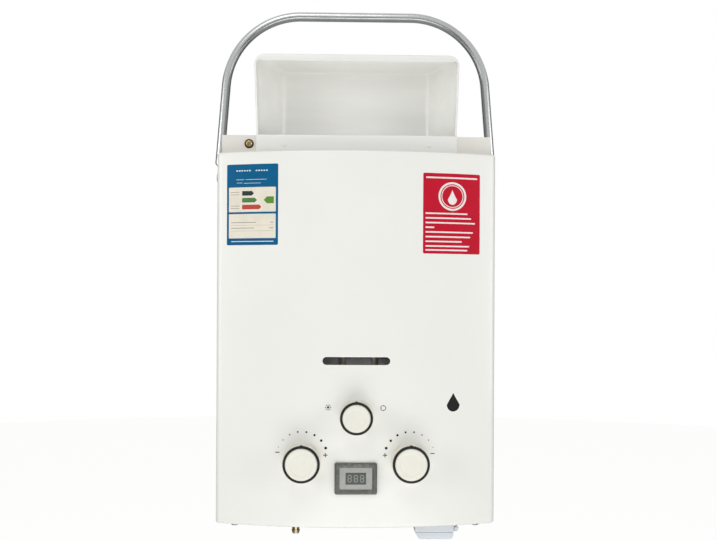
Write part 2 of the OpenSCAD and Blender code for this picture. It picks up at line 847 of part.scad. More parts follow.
// A burner bar: slotted port head on a blade, fed by a venturi tube below it
module burner_bar() {
    difference() {
        union() {
            block([-blade_w / 2, blade_w / 2], [core_y0 + sheet_t, core_y1 - sheet_t],
                [z_burner0, z_burner1 - head_h + head_step]);
            block([-head_w / 2, head_w / 2], [core_y0 + sheet_t, core_y1 - sheet_t],
                [z_burner1 - head_h, z_burner1]);
            bar_y(venturi_r, 0, [venturi_y0, core_cy], z_venturi);
            block([-web_w / 2, web_w / 2], [venturi_y0 + venturi_r, core_cy], [z_venturi, z_burner0]);
        }
        for (i = [0 : port_count - 1]) {
            y = core_cy + (i - (port_count - 1) / 2) * port_pitch;
            block([-head_w, head_w], [y - port_w / 2, y + port_w / 2],
                [z_burner1 - port_depth, z_burner1 + 1]);
        }
        bar_y(venturi_r - venturi_wall, 0, [venturi_y0 - 1, core_cy - 2 * venturi_wall], z_venturi);
    }
}

module burner_bars() color("#9fa1a0") for (i = [0 : bar_count - 1])
    translate([(i - (bar_count - 1) / 2) * bar_pitch, 0, 0]) burner_bar();

module gas_manifold() color("#c2a45c") {
    difference() {
        bar_x(manifold_r, [-manifold_hw, manifold_hw], manifold_y, z_venturi);
        bar_x(manifold_r - manifold_wall, [-manifold_hw + manifold_end, manifold_hw - manifold_end],
            manifold_y, z_venturi);
    }
    jet_y = manifold_y + manifold_r - 1;
    for (i = [0 : bar_count - 1])
        translate([(i - (bar_count - 1) / 2) * bar_pitch, jet_y, z_venturi]) rotate([-90, 0, 0])
            cylinder(r1 = jet_r0, r2 = jet_r1, h = venturi_y0 + jet_in - jet_y);
    both() block([bar_pitch - strap_hw, bar_pitch + strap_hw], [manifold_y, manifold_y + strap_t],
        [z_venturi + manifold_r - 1, strap_z + strap_t]);
    both() block([bar_pitch - strap_hw, bar_pitch + strap_hw], [manifold_y, core_y0],
        [strap_z, strap_z + strap_t]);
}

module spark_electrode() color("#efece2") electrode(spark_x);
module flame_sensor() color("#efece2") electrode(sensor_x);

// A ceramic rod with a wire tip over the burner, clamped on the frame
module electrode(x) {
    bar_z(insulator_r, x, rod_y, [insulator_z0, insulator_z1]);
    block([x - insulator_r, x + insulator_r], [rod_y, core_y0],
        [insulator_z0 + 2, insulator_z0 + 2 + clamp_h]);
    rod([[x, rod_y, insulator_z1 - 1], [x, rod_y, wire_z], [x, rod_y + wire_in, wire_z]],
        wire_r, wire_bend);
}

// ---------- gas and water ways ----------

module season_valve_body() color("#b9b6ae") difference() {
    union() {
        block([-season_hw, season_hw], [season_y0, season_y1],
            [z_season - season_hh, z_season + season_hh]);
        bar_y(season_bushing_r, 0, [season_y0 - season_bushing, season_y0], z_season);
        block([-season_neck, season_neck], [manifold_y - season_neck_y, manifold_y + season_neck_y],
            [z_season + season_hh, z_venturi - manifold_r / 2]);
    }
    bar_y(spindle_r + run_gap, 0, [season_y0 - season_bushing - 1, season_y0 + season_depth], z_season);
    bar_x(manifold_r, [-2 * season_neck, 2 * season_neck], manifold_y, z_venturi);
}

module gas_feed_pipe() color("#b9b6ae")
    pipe([[feed_x, feed_y, z_knob + valve_hh], [feed_x, feed_y, z_season],
        [-season_hw, feed_y, z_season]], feed_r, feed_wall, pipe_bend);

// The gas half of the linked valve, with a fork round the push rod
module gas_valve_body() color("#b9b6ae") difference() {
    union() {
        block([-knob_x - valve_hw, gas_x1], [valve_y0, valve_y1], [z_knob - valve_hh, z_knob + valve_hh]);
        bar_y(bushing_r, -knob_x, [valve_y0 - bushing_len, valve_y0], z_knob);
        for (z = [z_knob + fork_gap, z_knob - fork_gap - fork_t])
            block([gas_x1, housing_x0], [link_y - fork_hw, link_y + fork_hw], [z, z + fork_t]);
        bar_z(nipple_r + collar_w, -nipple_x, gas_y, [z_gas_port, z_knob - valve_hh]);
    }
    bar_y(spindle_r + run_gap, -knob_x, [valve_y0 - bushing_len - 1, valve_y0 + bushing_depth], z_knob);
    bar_x(rod_r + run_gap, [gas_x1 - rod_in - rod_travel - 1, gas_x1 + 1], link_y, z_knob);
    for (dx = [-1, 1], dz = [-1, 1])
        bar_y(screw_r, -knob_x + dx * (valve_hw - lid_screw_in), [valve_y0 - 1, valve_y0 + lid_screw],
            z_knob + dz * (valve_hh - lid_screw_in));
}

module gas_inlet() color("#b79a58") {
    z0 = z_bot - nipple_len;
    difference() {
        union() {
            translate([-nipple_x, gas_y, z0])
                cylinder(r1 = nipple_r - nipple_tip / 3, r2 = nipple_r, h = nipple_tip);
            bar_z(nipple_r, -nipple_x, gas_y, [z0 + nipple_tip, z_bot]);
            bar_z(nipple_r + collar_w, -nipple_x, gas_y, [z_bot, z_bot + collar_h]);
            bar_z(nipple_r - stem_step, -nipple_x, gas_y, [z_bot + collar_h, z_gas_port]);
        }
        bar_z(nipple_r - nipple_wall, -nipple_x, gas_y, [z0 - 1, z_gas_port + 1]);
    }
}

module water_valve_body() color("#c8ab63") difference() {
    union() {
        block([water_x0 + water_flange, water_x1], [valve_y0, valve_y1],
            [z_knob - water_hh, z_knob + valve_hh]);
        bar_y(water_bushing_r, knob_x, [valve_y0 - bushing_len, valve_y0],
            z_knob + water_bushing_r - water_hh - 2);
        block([water_x0 + water_flange, inlet_x + inlet_hw], [valve_y1, water_y + inlet_hw],
            [z_knob - water_hh, z_knob + water_hh]);
        block([water_x0, water_x0 + water_flange], [link_y - water_flange_hw, link_y + water_flange_hw],
            [z_knob - water_hh + 1, z_knob + water_flange_hw]);
    }
    bar_y(spindle_r + run_gap, knob_x, [valve_y0 - bushing_len - 1, valve_y0 + bushing_depth], z_knob);
}

// The water half's diaphragm chamber, two flanged cups with the rod in the middle
module diaphragm_housing() color("#c8ab63") difference() {
    union() {
        bar_x(housing_r - housing_in, [housing_x0, housing_x1], link_y, z_knob);
        bar_x(housing_r, [flange_x0, flange_x1], link_y, z_knob);
    }
    bar_x(rod_r + run_gap, [housing_x0 - 1, housing_x0 + rod_in + 3], link_y, z_knob);
    for (a = [30 : 60 : 330])
        bar_x(screw_r, [flange_x0 - 1, flange_x1 + 1], link_y + flange_screw_r * cos(a),
            z_knob + flange_screw_r * sin(a));
}

module valve_screws() color("#a9a9a5") {
    for (a = [30 : 60 : 330])
        bar_x(screw_r, [flange_x0 - 2, flange_x1 + 2], link_y + flange_screw_r * cos(a),
            z_knob + flange_screw_r * sin(a));
    for (dx = [-1, 1], dz = [-1, 1])
        bar_y(screw_r, -knob_x + dx * (valve_hw - lid_screw_in), [valve_y0 - 2, valve_y0 + lid_screw],
            z_knob + dz * (valve_hh - lid_screw_in));
}

module micro_switch() color("#2f2f31") {
    block([gas_x1, gas_x1 + switch_x], [link_y - switch_hy, link_y + switch_hy],
        [switch_z0, switch_z1]);
    block([gas_x1 + 4, gas_x1 + switch_x - 4], [link_y - 1, link_y + 1],
        [switch_z1, switch_z1 + 1.5]);
}

module push_rod() color("#c9c9c4") {
    bar_x(rod_r, [gas_x1 - rod_in, housing_x0 + rod_in + 2], link_y, z_knob);
    bar_x(rod_r + rod_collar_w, [rod_collar_x, rod_collar_x + rod_collar_t], link_y, z_knob);
}

module igniter_box() color("#f0efe9") {
    x0 = -in_w + sheet_t + igniter_gap;
    x1 = x0 + igniter_w;
    z0 = z_knob - igniter_low;
    z1 = z0 + igniter_h;
    lid = 2;
    lid_in = 3;
    post = 8;
    block([x0, x1], [igniter_y0, igniter_y1], [z0, z1]);
    block([x0 + lid_in, x1 - lid_in], [igniter_y0 - lid, igniter_y0], [z0 + lid_in, z1 - lid_in]);
    for (z = [z0 + lid, z1 - lid - post])
        block([x1 - 1.5 * post, x1 - post / 2], [igniter_y1, -sheet_t], [z, z + post]);
}

module cold_pipe() color("#c07a4c")
    pipe([[water_x1, riser_y, z_knob + cold_rise], [riser_x, riser_y, z_knob + cold_rise],
        [riser_x, riser_y, z_union]], pipe_r, pipe_wall, pipe_bend);

module hot_pipe() color("#c07a4c")
    pipe([[-tube_end, water_y, tube_z], [-outlet_x, water_y, tube_z],
        [-outlet_x, water_y, z_outlet]], pipe_r, pipe_wall, pipe_bend);

module pipe_nuts() color("#c8ab63") {
    difference() {
        translate([riser_x, riser_y, z_union - nut_h / 2]) cylinder(r = nut_r, h = nut_h, $fn = 6);
        bar_z(pipe_r, riser_x, riser_y, [z_union - nut_h, z_union + nut_h]);
    }
    difference() {
        translate([-outlet_x, water_y, z_outlet]) cylinder(r = nut_r, h = nut_h, $fn = 6);
        bar_z(pipe_r, -outlet_x, water_y, [z_outlet - 1, z_outlet + nut_h + 1]);
    }
}

// A half-inch connector with its hexagon inside the case
module connector(x, y, z1) {
    difference() {
        union() {
            bar_z(thread_r, x, y, [z_bot - thread_len, z_bot]);
            bar_z(thread_r + shoulder_w, x, y, [z_bot, z_bot + 2 * sheet_t]);
            translate([x, y, z_bot + 2 * sheet_t]) cylinder(r = thread_r + hex_w, h = hex_h, $fn = 6);
            bar_z(thread_r - stem_in, x, y, [z_bot + 2 * sheet_t + hex_h, z1]);
        }
        bar_z(thread_r - bore_wall, x, y, [z_bot - thread_len - 1, z1 + 1]);
    }
}

module water_inlet() color("#c8ab63") connector(inlet_x, water_y, z_knob - water_hh);
module water_outlet() color("#c8ab63") connector(-outlet_x, water_y, z_outlet);

// ---------- knobs ----------

// A pale ring between a knob and the bowed cover
module seat(x, z, r) {
    intersection() {
        difference() {
            bar_y(r, x, [seat_front(x, r), -side_d], z);
            bar_y(knob_hole_r, x, [-2 * side_d, 0], z);
        }
        outside_bow([z - 2 * r, z + 2 * r]);
    }
}

module knob_seats() color("#e7e5dc") {
    for (s = [-1, 1]) seat(s * knob_x, z_knob, skirt_r + seat_rim);
    seat(0, z_season, season_skirt_r + seat_rim);
}

// The grip is a round body behind the dark ring, and a slightly tapered disc that comes through
// the ring with a rounded edge and a shallow dish
module cap(x, z, r, back) {
    step = knob_len - ring_back - skirt_t;
    body_r = r + skirt_w - grip_in;
    front_r = r - cap_taper;
    arc = [for (a = [0 : 15 : 90])
        [front_r - cap_edge + cap_edge * cos(a), knob_len - cap_edge + cap_edge * sin(a)]];
    difference() {
        translate([x, back, z]) rotate([90, 0, 0]) rotate_extrude($fn = 72)
            polygon(concat([[0, 0], [body_r, 0], [body_r, step], [r, step]], arc,
                [[front_r - dish_in, knob_len],
                [front_r - dish_in - dish_slope, knob_len - dish_depth], [0, knob_len - dish_depth]]));
        bar_y(spindle_r, x, [back - spindle_in_cap, back + 1], z);
    }
}

// The dark ring around the disc carries the pointer
module skirt(x, z, r, back) {
    front = back - knob_len + ring_back;
    difference() {
        union() {
            bar_y(r, x, [front, front + skirt_t], z);
            bar_y(pointer_r, x, [front, front + skirt_t], z + r - pointer_in);
        }
        bar_y(r - skirt_w + ring_gap, x, [front - 1, front + skirt_t + 1], z);
    }
}

module spindle(x, z, back, end) {
    bar_y(spindle_r, x, [back - spindle_in_cap, end], z);
}

module gas_knob_cap() color("#ece9de") cap(-knob_x, z_knob, cap_r, knob_back);
module gas_knob_skirt() color("#242424") skirt(-knob_x, z_knob, skirt_r, knob_back);
module gas_spindle() color("#c9c9c4") spindle(-knob_x, z_knob, knob_back, valve_y0 + bushing_depth - 1);
module water_knob_cap() color("#ece9de") cap(knob_x, z_knob, cap_r, knob_back);
module water_knob_skirt() color("#242424") skirt(knob_x, z_knob, skirt_r, knob_back);
module water_spindle() color("#c9c9c4") spindle(knob_x, z_knob, knob_back, valve_y0 + bushing_depth - 1);
module season_knob_cap() color("#ece9de") cap(0, z_season, season_cap_r, season_back);
module season_knob_skirt() color("#242424") skirt(0, z_season, season_skirt_r, season_back);
module season_spindle() color("#c9c9c4")
    spindle(0, z_season, season_back, season_y0 + season_depth - 1);

// ---------- display ----------

module display_bezel() color("#51524d") difference() {
    intersection() {
        block([-bezel_w / 2, bezel_w / 2], [display_y - bezel_t, -side_d],
            [z_display - bezel_h / 2, z_display + bezel_h / 2]);
        union() {
            outside_bow([z_display - bezel_h, z_display + bezel_h]);
            display_block(0, [display_y, display_y + panel_d]);
        }
    }
    display_block(bezel_in, [display_y - past, 0]);
}

// A block as large as the cover's display opening, or one set in from it
module display_block(inset, y) {
    block([-cut_w / 2 + inset, cut_w / 2 - inset], y,
        [z_display - cut_h / 2 + inset, z_display + cut_h / 2 - inset]);
}

// A block as large as the window
module window_block(y) {
    block([-window_hw, window_hw], y, [z_display - window_hh, z_display + window_hh]);
}

module display_panel() color("#a8a9a4") difference() {
    display_block(bezel_in, [display_y - bezel_t + panel_step, display_y + panel_d]);
    window_block([display_y - past, display_y + 1]);
}

module display_window() color("#4a4f49")
    window_block([display_y - bezel_t + window_step, display_y + 1]);

module display_board() color("#2c5b3a") {
    display_block(0, [display_y + panel_d, display_y + panel_d + board_t]);
    translate([0, board_t, 0]) block([-digits_hw, digits_hw],
        [display_y + panel_d, display_y + panel_d + digits_d],
        [z_display - digits_hh, z_display + digits_hh]);
}

// ---------- battery box ----------

module battery_box() color("#d0d7dd") difference() {
    union() {
        block([box_x0, box_x1], [box_y0, box_y1], [z_box0, z_box1]);
        for (y = [box_y0 + ear_end, box_y1 - ear_end - ear_len])
            hinge_ear(y, ear_len);
    }
    block([box_x0 + box_wall, box_x1 - box_wall], [box_y0 + box_wall, box_y1 - box_wall],
        [z_box0 - 1, z_box1 - box_wall]);
    bar_y(pin_r, hinge_x, [box_y0 - 1, box_y1 + 1], hinge_z);
}

// A hinge knuckle joined to the side of the box
module hinge_ear(y, len) {
    bar_y(hinge_r, hinge_x, [y, y + len], hinge_z);
    block([box_x1 - 0.5, hinge_x], [y, y + len], [hinge_z, hinge_z + hinge_r]);
}

module lid_pin() color("#a9a9a5")
    bar_y(pin_r, hinge_x, [box_y0 + pin_end, box_y1 - pin_end], hinge_z);

module battery_lid() color("#d0d7dd") difference() {
    union() {
        translate([0, box_y1, 0]) rotate([90, 0, 0]) linear_extrude(box_y1 - box_y0)
            polygon([[box_x0, z_box0 - move_gap], [box_x0 + lid_slant, z_box0 - lid_t],
                [box_x1 - lid_bevel, z_box0 - lid_t], [box_x1, z_box0 - lid_t + lid_edge],
                [box_x1, z_box0 - move_gap]]);
        bar_y(hinge_r, hinge_x, [box_y0 + knuckle_end, box_y1 - knuckle_end], hinge_z);
        block([box_x1 - lid_bevel, hinge_x + hinge_r], [box_y0 + knuckle_end, box_y1 - knuckle_end],
            [z_box0 - strap_thick, z_box0 - move_gap]);
        block([hinge_x, hinge_x + hinge_r], [box_y0 + knuckle_end, box_y1 - knuckle_end],
            [z_box0 - strap_thick, hinge_z]);
    }
    block([box_x0 + lid_slant + box_wall, box_x1 - lid_bevel - box_wall],
        [box_y0 + lid_edge, box_y1 - lid_edge], [z_box0 - lid_t + box_wall, z_box0 + 1]);
    bar_y(pin_r + run_gap, hinge_x, [box_y0, box_y1], hinge_z);
}

module battery_cells() color("#3a6ea5") for (i = [0, 1]) {
    bar_z(cell_r, battery_x, cell_y(i), [z_cells, z_cells + cell_len - cell_cap_h]);
    bar_z(cell_cap_r, battery_x, cell_y(i), [z_cells + cell_len - cell_cap_h, z_cells + cell_len]);
}

// A conical contact spring: one round wire swept along its curls as a single mesh
module contact_spring() {
    n = spring_turns * curl_rings;
    sides = 6;
    points = [for (k = [0 : n]) let (a = 360 * k / curl_rings, c = spring_point(k))
        for (j = [0 : sides - 1]) let (b = 360 * j / sides)
            c + spring_wire * (cos(b) * [cos(a), sin(a), 0] + sin(b) * [0, 0, 1])];
    sides_faces = [for (k = [0 : n - 1], j = [0 : sides - 1]) let (q = (j + 1) % sides)
        for (f = [0, 1]) f == 0 ? [k * sides + j, (k + 1) * sides + j, (k + 1) * sides + q]
            : [k * sides + j, (k + 1) * sides + q, k * sides + q]];
    ends = concat([for (j = [1 : sides - 2]) [0, j, j + 1]],
        [for (j = [1 : sides - 2]) [n * sides, n * sides + j + 1, n * sides + j]]);
    polyhedron(points, concat(sides_faces, ends));
}

module battery_springs() color("#c9c9c4") for (i = [0, 1])
    translate([battery_x, cell_y(i), z_box1 - box_wall - spring_wire]) contact_spring();

// ---------- handle ----------

module handle_path(r) {
    rod([[-leg_x, -handle_y, z_top], [-corner_x, -handle_y, bar_z], [corner_x, -handle_y, bar_z],
        [leg_x, -handle_y, z_top]], r, handle_bend);
}

module handle_tube() color("#b9bcbd") {
    difference() {
        handle_path(tube_r);
        handle_path(tube_r - tube_wall);
        both() bar_x(vent_r, [leg_x - 2 * tube_r, leg_x], -handle_y, z_top + vent_rise);
    }
    both() difference() {
        union() {
            hull() {
                translate([leg_x, -handle_y, z_top]) rotate([0, -splay, 0])
                    cylinder(r = tube_r - 5 * joint_step, h = joint_lap, $fn = 32);
                block([paddle_x, paddle_x + paddle_t], [-handle_y - paddle_r, -handle_y + paddle_r],
                    [pivot_z + paddle_up, pivot_z + paddle_up + 0.1]);
            }
            block([paddle_x, paddle_x + paddle_t], [-handle_y - paddle_r, -handle_y + paddle_r],
                [pivot_z, pivot_z + paddle_up]);
            bar_x(paddle_r, [paddle_x, paddle_x + paddle_t], -handle_y, pivot_z);
        }
        bar_x(pivot_r + run_gap, [paddle_x - 1, paddle_x + paddle_t + 1], -handle_y, pivot_z);
    }
}

module handle_bolts() color("#a9a9a5") both() {
    head_x = paddle_x + paddle_t + move_gap;
    nut_x = half_w - sheet_t - nut_hex_h;
    bar_x(pivot_r, [nut_x - sheet_t, head_x], -handle_y, pivot_z);
    bar_x(bolt_head_r, [head_x, head_x + bolt_head_h], -handle_y, pivot_z);
    translate([nut_x, -handle_y, pivot_z]) rotate([0, 90, 0])
        cylinder(r = nut_hex_r, h = nut_hex_h, $fn = 6);
}

module handle_spacers() color("#e4e4e0") both() difference() {
    bar_x(washer_r, [half_w, half_w + spacer_t], -handle_y, pivot_z);
    bar_x(pivot_r, [half_w - 1, half_w + spacer_t + 1], -handle_y, pivot_z);
}

back_plate();
top_deck();
bottom_plate();
front_cover();
cover_screws();
flue_hood();
hood_rivets();
rail_screw();
flue_collector();
heat_exchanger_fins();
heat_exchanger_tubes();
combustion_chamber();
chamber_coil();
overheat_cutout();
burner_frame();
burner_bars();
gas_manifold();
season_valve_body();
gas_feed_pipe();
gas_valve_body();
gas_inlet();
water_valve_body();
diaphragm_housing();
valve_screws();
micro_switch();
push_rod();
spark_electrode();
flame_sensor();
igniter_box();
cold_pipe();
hot_pipe();
pipe_nuts();
water_inlet();
water_outlet();
knob_seats();
gas_knob_cap();
gas_knob_skirt();
gas_spindle();
water_knob_cap();
water_knob_skirt();
water_spindle();
season_knob_cap();
season_knob_skirt();
season_spindle();
display_bezel();
display_panel();
display_window();
display_board();
battery_box();
battery_cells();
battery_springs();
lid_pin();
battery_lid();
handle_tube();
handle_bolts();
handle_spacers();
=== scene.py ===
"""Wall-hung gas water heater: a bowed enamelled cover, a metal hood, a tube handle, three knobs and a small display.
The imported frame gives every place. This script adds the finished surfaces, the finishes, the light and the camera.
Shapes are worked out in millimetres as numpy arrays and go into the meshes in metres."""
from math import ceil, cos, pi, radians, sin, sqrt, tan

import bmesh
import bpy
import numpy as np
from bpy.props import FloatProperty, FloatVectorProperty, PointerProperty
from mathutils import Matrix, Vector


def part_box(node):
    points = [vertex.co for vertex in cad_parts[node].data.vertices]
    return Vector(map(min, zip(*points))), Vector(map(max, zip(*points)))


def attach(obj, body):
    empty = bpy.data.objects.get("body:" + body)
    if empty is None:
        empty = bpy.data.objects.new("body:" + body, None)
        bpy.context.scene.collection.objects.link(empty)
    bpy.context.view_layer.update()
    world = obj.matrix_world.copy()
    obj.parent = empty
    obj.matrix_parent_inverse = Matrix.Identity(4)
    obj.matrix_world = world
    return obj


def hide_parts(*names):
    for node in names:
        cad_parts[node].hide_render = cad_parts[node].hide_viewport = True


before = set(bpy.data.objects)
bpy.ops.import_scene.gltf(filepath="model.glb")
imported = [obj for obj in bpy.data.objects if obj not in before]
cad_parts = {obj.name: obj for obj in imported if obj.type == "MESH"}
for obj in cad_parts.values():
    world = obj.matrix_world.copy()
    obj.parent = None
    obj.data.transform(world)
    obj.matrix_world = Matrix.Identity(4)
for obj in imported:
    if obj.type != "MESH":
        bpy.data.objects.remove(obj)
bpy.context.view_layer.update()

bl_info = {
    "name": "Gas water heater",
    "version": (1, 0, 0),
    "blender": (4, 5, 0),
    "location": "3D View > Sidebar > Heater",
    "description": "Builds the finished surfaces and finishes of a wall-hung gas water heater",
    "category": "Object",
}

MM = 0.001


# ---------- places from the frame, in millimetres ----------


def corners(node):
    """Lowest and highest corner of a node, in millimetres."""
    lo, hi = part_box(node)
    return np.array(lo) / MM, np.array(hi) / MM


def middle(node):
    """Middle of a node's box, in millimetres."""
    lo, hi = corners(node)
    return (lo + hi) / 2


COVER_LO, COVER_HI = corners("front_cover")
HALF_W = COVER_HI[0]
Z_TOP, Z_BOT = COVER_HI[2], COVER_LO[2]
SHEET = 1.0
SIDE_D = 100.0
BOW_D = -COVER_LO[1] - SIDE_D
BOW_R = (HALF_W**2 + BOW_D**2) / (2 * BOW_D)
BOW_CY = BOW_R - SIDE_D - BOW_D
CORNER_R = 7.0
RETURN_Y = -91.0
NOTCH_X, NOTCH_Y, NOTCH_HALF = 83.0, -95.3, 20.45
NOTCH_MARKS = (NOTCH_X - 20.5, NOTCH_X - 20.4, NOTCH_X + 20.4, NOTCH_X + 20.5)
GAS = middle("gas_knob_cap")
WATER = middle("water_knob_cap")
SEASON = middle("season_knob_cap")
DISPLAY = middle("display_window")
SLOT_Z = SEASON[2] + 56.2
SLOT_HALF = (34.5, 4.0)
# Half width and half height of the patches in the cover's grid that hold its openings
SLOT_PATCH, KNOB_PATCH, DISPLAY_PATCH = (42.8, 12), (12, 12), (24, 18)


def bow(x):
    """y of the cover's front at x: a circle about a vertical line behind the wall."""
    return BOW_CY - np.sqrt(BOW_R**2 - np.square(x))


# ---------- settings that a user would change ----------


def linear(code):
    """Linear colour of an sRGB hex code."""
    srgb = np.array([int(code[i : i + 2], 16) for i in (0, 2, 4)]) / 255
    low, high = srgb / 12.92, ((srgb + 0.055) / 1.055) ** 2.4
    return (*np.where(srgb <= 0.04045, low, high).tolist(), 1.0)


def length(name, default, description):
    """A length setting, given in millimetres and held in metres."""
    return FloatProperty(name=name, description=description, default=default * MM, min=0.0, unit="LENGTH")


def colour(name, code, description):
    """A colour setting, given as an sRGB hex code."""
    return FloatVectorProperty(name=name, description=description, default=linear(code), size=4, min=0.0, max=1.0,
                               subtype="COLOR")


class HeaterSizes(bpy.types.PropertyGroup):
    """Sizes of the finished surfaces"""

    fold: length("Fold radius", 2.0, "Outer radius of the cover's folded top and bottom edges")
    rim: length("Opening edge", 0.3, "Rounding of the sheet around the openings")
    hood_fold: length("Hood fold", 1.5, "Outer radius of the fold around the hood's mouth")
    hood_rim: length("Hood rim", 2.0, "Width of the folded rim on the hood's sides")
    hood_lip: length("Hood lip", 7.4, "Height of the folded lip along the hood's roof")
    thread_pitch: length("Thread pitch", 1.814, "Pitch of the water connectors' threads")
    thread_depth: length("Thread depth", 1.1, "Depth of the water connectors' threads")
    knob_ring: length("Knob ring", 2.3, "Width of the dark ring around a knob's face")
    dot_arc: length("Dot arc", 26.0, "Radius of the printed arcs of dots over the lower knobs")
    print_lift: length("Print lift", 0.05, "How far printed marks stand on the enamel")
    sticker_lift: length("Sticker lift", 0.12, "Thickness of the stickers")


class HeaterColours(bpy.types.PropertyGroup):
    """Colours of the finishes"""

    cover: colour("Cover", "F0F0EB", "White stoved enamel of the front cover")
    # Greyer than the cover: partly the rail's own tone, partly painted shade
    rail: colour("Rail", "E6E3DC", "Enamel of the top deck and its rail")
    hood: colour("Hood", "EEEEEA", "Satin sheet metal of the hood")
    steel: colour("Steel", "B4B6B6", "Polished steel of the handle")
    zinc: colour("Zinc", "B9BBBB", "Zinc-plated screws")
    zinc_yellow: colour("Yellow zinc", "A79B7A", "Yellow-passivated screw")
    galvanised: colour("Galvanised sheet", "BFC2C3", "Plates of the case")
    brass: colour("Brass", "C6B797", "Fittings and gas parts")
    copper: colour("Copper", "C27B54", "Heat exchanger and water pipes")
    knob: colour("Knob", "EAE8DC", "Cream grips of the knobs")
    ring: colour("Knob ring", "141413", "Dark rings around the faces of the knobs")
    bezel: colour("Bezel", "54554F", "Frame of the display")
    panel: colour("Display panel", "A8A9A4", "Plate inside the display frame")
    window: colour("Display window", "363A36", "Window over the digits")
    digit: colour("Digit", "8F978F", "Unlit digits")
    # Its blue-grey tint is painted shade from the box's shaded underside
    box: colour("Battery box", "E4EAF0", "Translucent plastic of the battery box")
    ink: colour("Ink", "161616", "Printed marks on the cover")
    label_blue: colour("Blue label", "0A5F8C", "Ground of the left sticker")
    label_cream: colour("Cream label", "ECE5D5", "Panels of the left sticker")
    label_red: colour("Red label", "C51831", "Ground of the right sticker")


# ---------- shapes ----------

CORNERS = np.array([[1, 1], [-1, 1], [-1, -1], [1, -1]])


def full_turn(n):
    """n even angles round a full turn."""
    return np.linspace(0, 2 * pi, n, endpoint=False)


def grid(points, wrap_u=False, wrap_v=False, keep=None):
    """A grid of points (u, v, 3): each cell joins its four corners, but for the cells that keep leaves out."""
    nu, nv = points.shape[:2]
    u = np.arange(nu if wrap_u else nu - 1)[:, None]
    v = np.arange(nv if wrap_v else nv - 1)[None, :]
    corner = [((u + a) % nu) * nv + (v + b) % nv for a, b in ((0, 0), (1, 0), (1, 1), (0, 1))]
    cells = np.stack(np.broadcast_arrays(*corner), -1)
    cells = cells.reshape(-1, 4) if keep is None else cells[keep]
    return points.reshape(-1, 3), cells


def turned(profile, centre, axis="z", steps=96, shape=None):
    """A profile of (radius, height) pairs turned about an axis through centre.
    Height runs along +z, forward along -y, or along +x or -x. shape(r, t, h) changes the radius with the angle t."""
    t = full_turn(steps)[None, :]
    profile = np.asarray(profile, float)
    r, h = profile[:, :1] + 0 * t, profile[:, 1:] + 0 * t
    r = r if shape is None else shape(r, t, h)
    a, b = r * np.cos(t), r * np.sin(t)
    axes = {"z": (a, b, h), "y": (a, -h, b), "x": (h, a, b), "-x": (-h, a, b)}
    return grid(np.stack(axes[axis], -1) + np.asarray(centre, float), wrap_v=True)


def swept(centres, normals, across, half, power):
    """A section carried along centres. Each section is a superellipse: half[0] along its normal and half[1] along
    across, from an ellipse at power 2 towards a rectangle at higher powers."""
    t = full_turn(40)[None, :, None]
    e = 2 / power[:, None, None]
    a = half[0][:, None, None] * np.sign(np.cos(t)) * np.abs(np.cos(t)) ** e
    b = half[1][:, None, None] * np.sign(np.sin(t)) * np.abs(np.sin(t)) ** e
    return grid(centres[:, None] + a * normals[:, None] + b * across, wrap_v=True)


def turn2(outline, degrees):
    """An outline turned about its origin."""
    c, s = cos(radians(degrees)), sin(radians(degrees))
    return outline @ np.array([[c, s], [-s, c]])


def rounded(hx, hz, r, segments):
    """Outline of a rounded rectangle: a quarter circle of radius r about each corner's centre."""
    a = np.linspace(0, pi / 2, segments + 1)
    quarter = np.stack([np.cos(a), np.sin(a)], -1) * r
    return np.vstack([turn2(quarter, 90 * k) + place for k, place in enumerate(CORNERS * (hx - r, hz - r))])


def disc(r, n):
    """Outline of a circle."""
    t = full_turn(n)
    return np.stack([np.cos(t), np.sin(t)], -1) * r


def bar(long, wide, angle=0.0):
    """Outline of a straight bar, turned by an angle in degrees."""
    return turn2(CORNERS * (long / 2, wide / 2), angle)


def dense(outline, step):
    """The same closed outline with a point every step along it as well as its own."""
    ring = np.vstack([outline, outline[:1]])
    s = np.r_[0, np.cumsum(np.linalg.norm(np.diff(ring, axis=0), axis=1))]
    t = np.unique(np.round(np.r_[s, np.arange(0, s[-1], step)], 4))[:-1]
    return np.stack([np.interp(t, s, ring[:, i]) for i in (0, 1)], -1)


def printed(outline, place, lift, surface=bow, inner=0.0, step=3.0):
    """A flat mark on a surface y = surface(x): rings run from the outline to its middle, or to inner times its size,
    each point lifted forward."""
    outline = dense(outline, step)
    centre = outline.mean(0)
    rings = max(1, ceil(np.abs(outline - centre).max() / step))
    t = np.linspace(inner, 1, rings + 1)[:, None, None]
    x, z = np.moveaxis(centre + t * (outline - centre) + np.asarray(place, float), -1, 0)
    return grid(np.stack([x, surface(x) - lift, z], -1), wrap_v=True)


def loft(loops, surface):
    """Rings of (x, z) outlines at given depths: each loop is (outline, y), and a y of None lies on the surface."""
    rows = [
        np.stack([o[:, 0], surface(o[:, 0]) if y is None else np.full(len(o), y), o[:, 1]], -1)
        for o, y in loops
    ]
    return grid(np.stack(rows), wrap_v=True)


def smooth(t):
    """A smooth step from 0 to 1."""
    t = np.clip(t, 0, 1)
    return t * t * (3 - 2 * t)


# ---------- meshes ----------


def piece(name, parts, body, slot, material, **options):
    """Joins parts (points, faces) in one mesh and finishes it: see dress() for the options."""
    points = np.vstack([p for p, _ in parts]) * MM
    starts = np.cumsum([0] + [len(p) for p, _ in parts])
    faces = [face for (_, f), s in zip(parts, starts) for face in (np.asarray(f) + s).tolist()]
    mesh = bpy.data.meshes.new(name)
    mesh.from_pydata(points.tolist(), [], faces)
    dress(name, mesh, body, slot, material, **options)


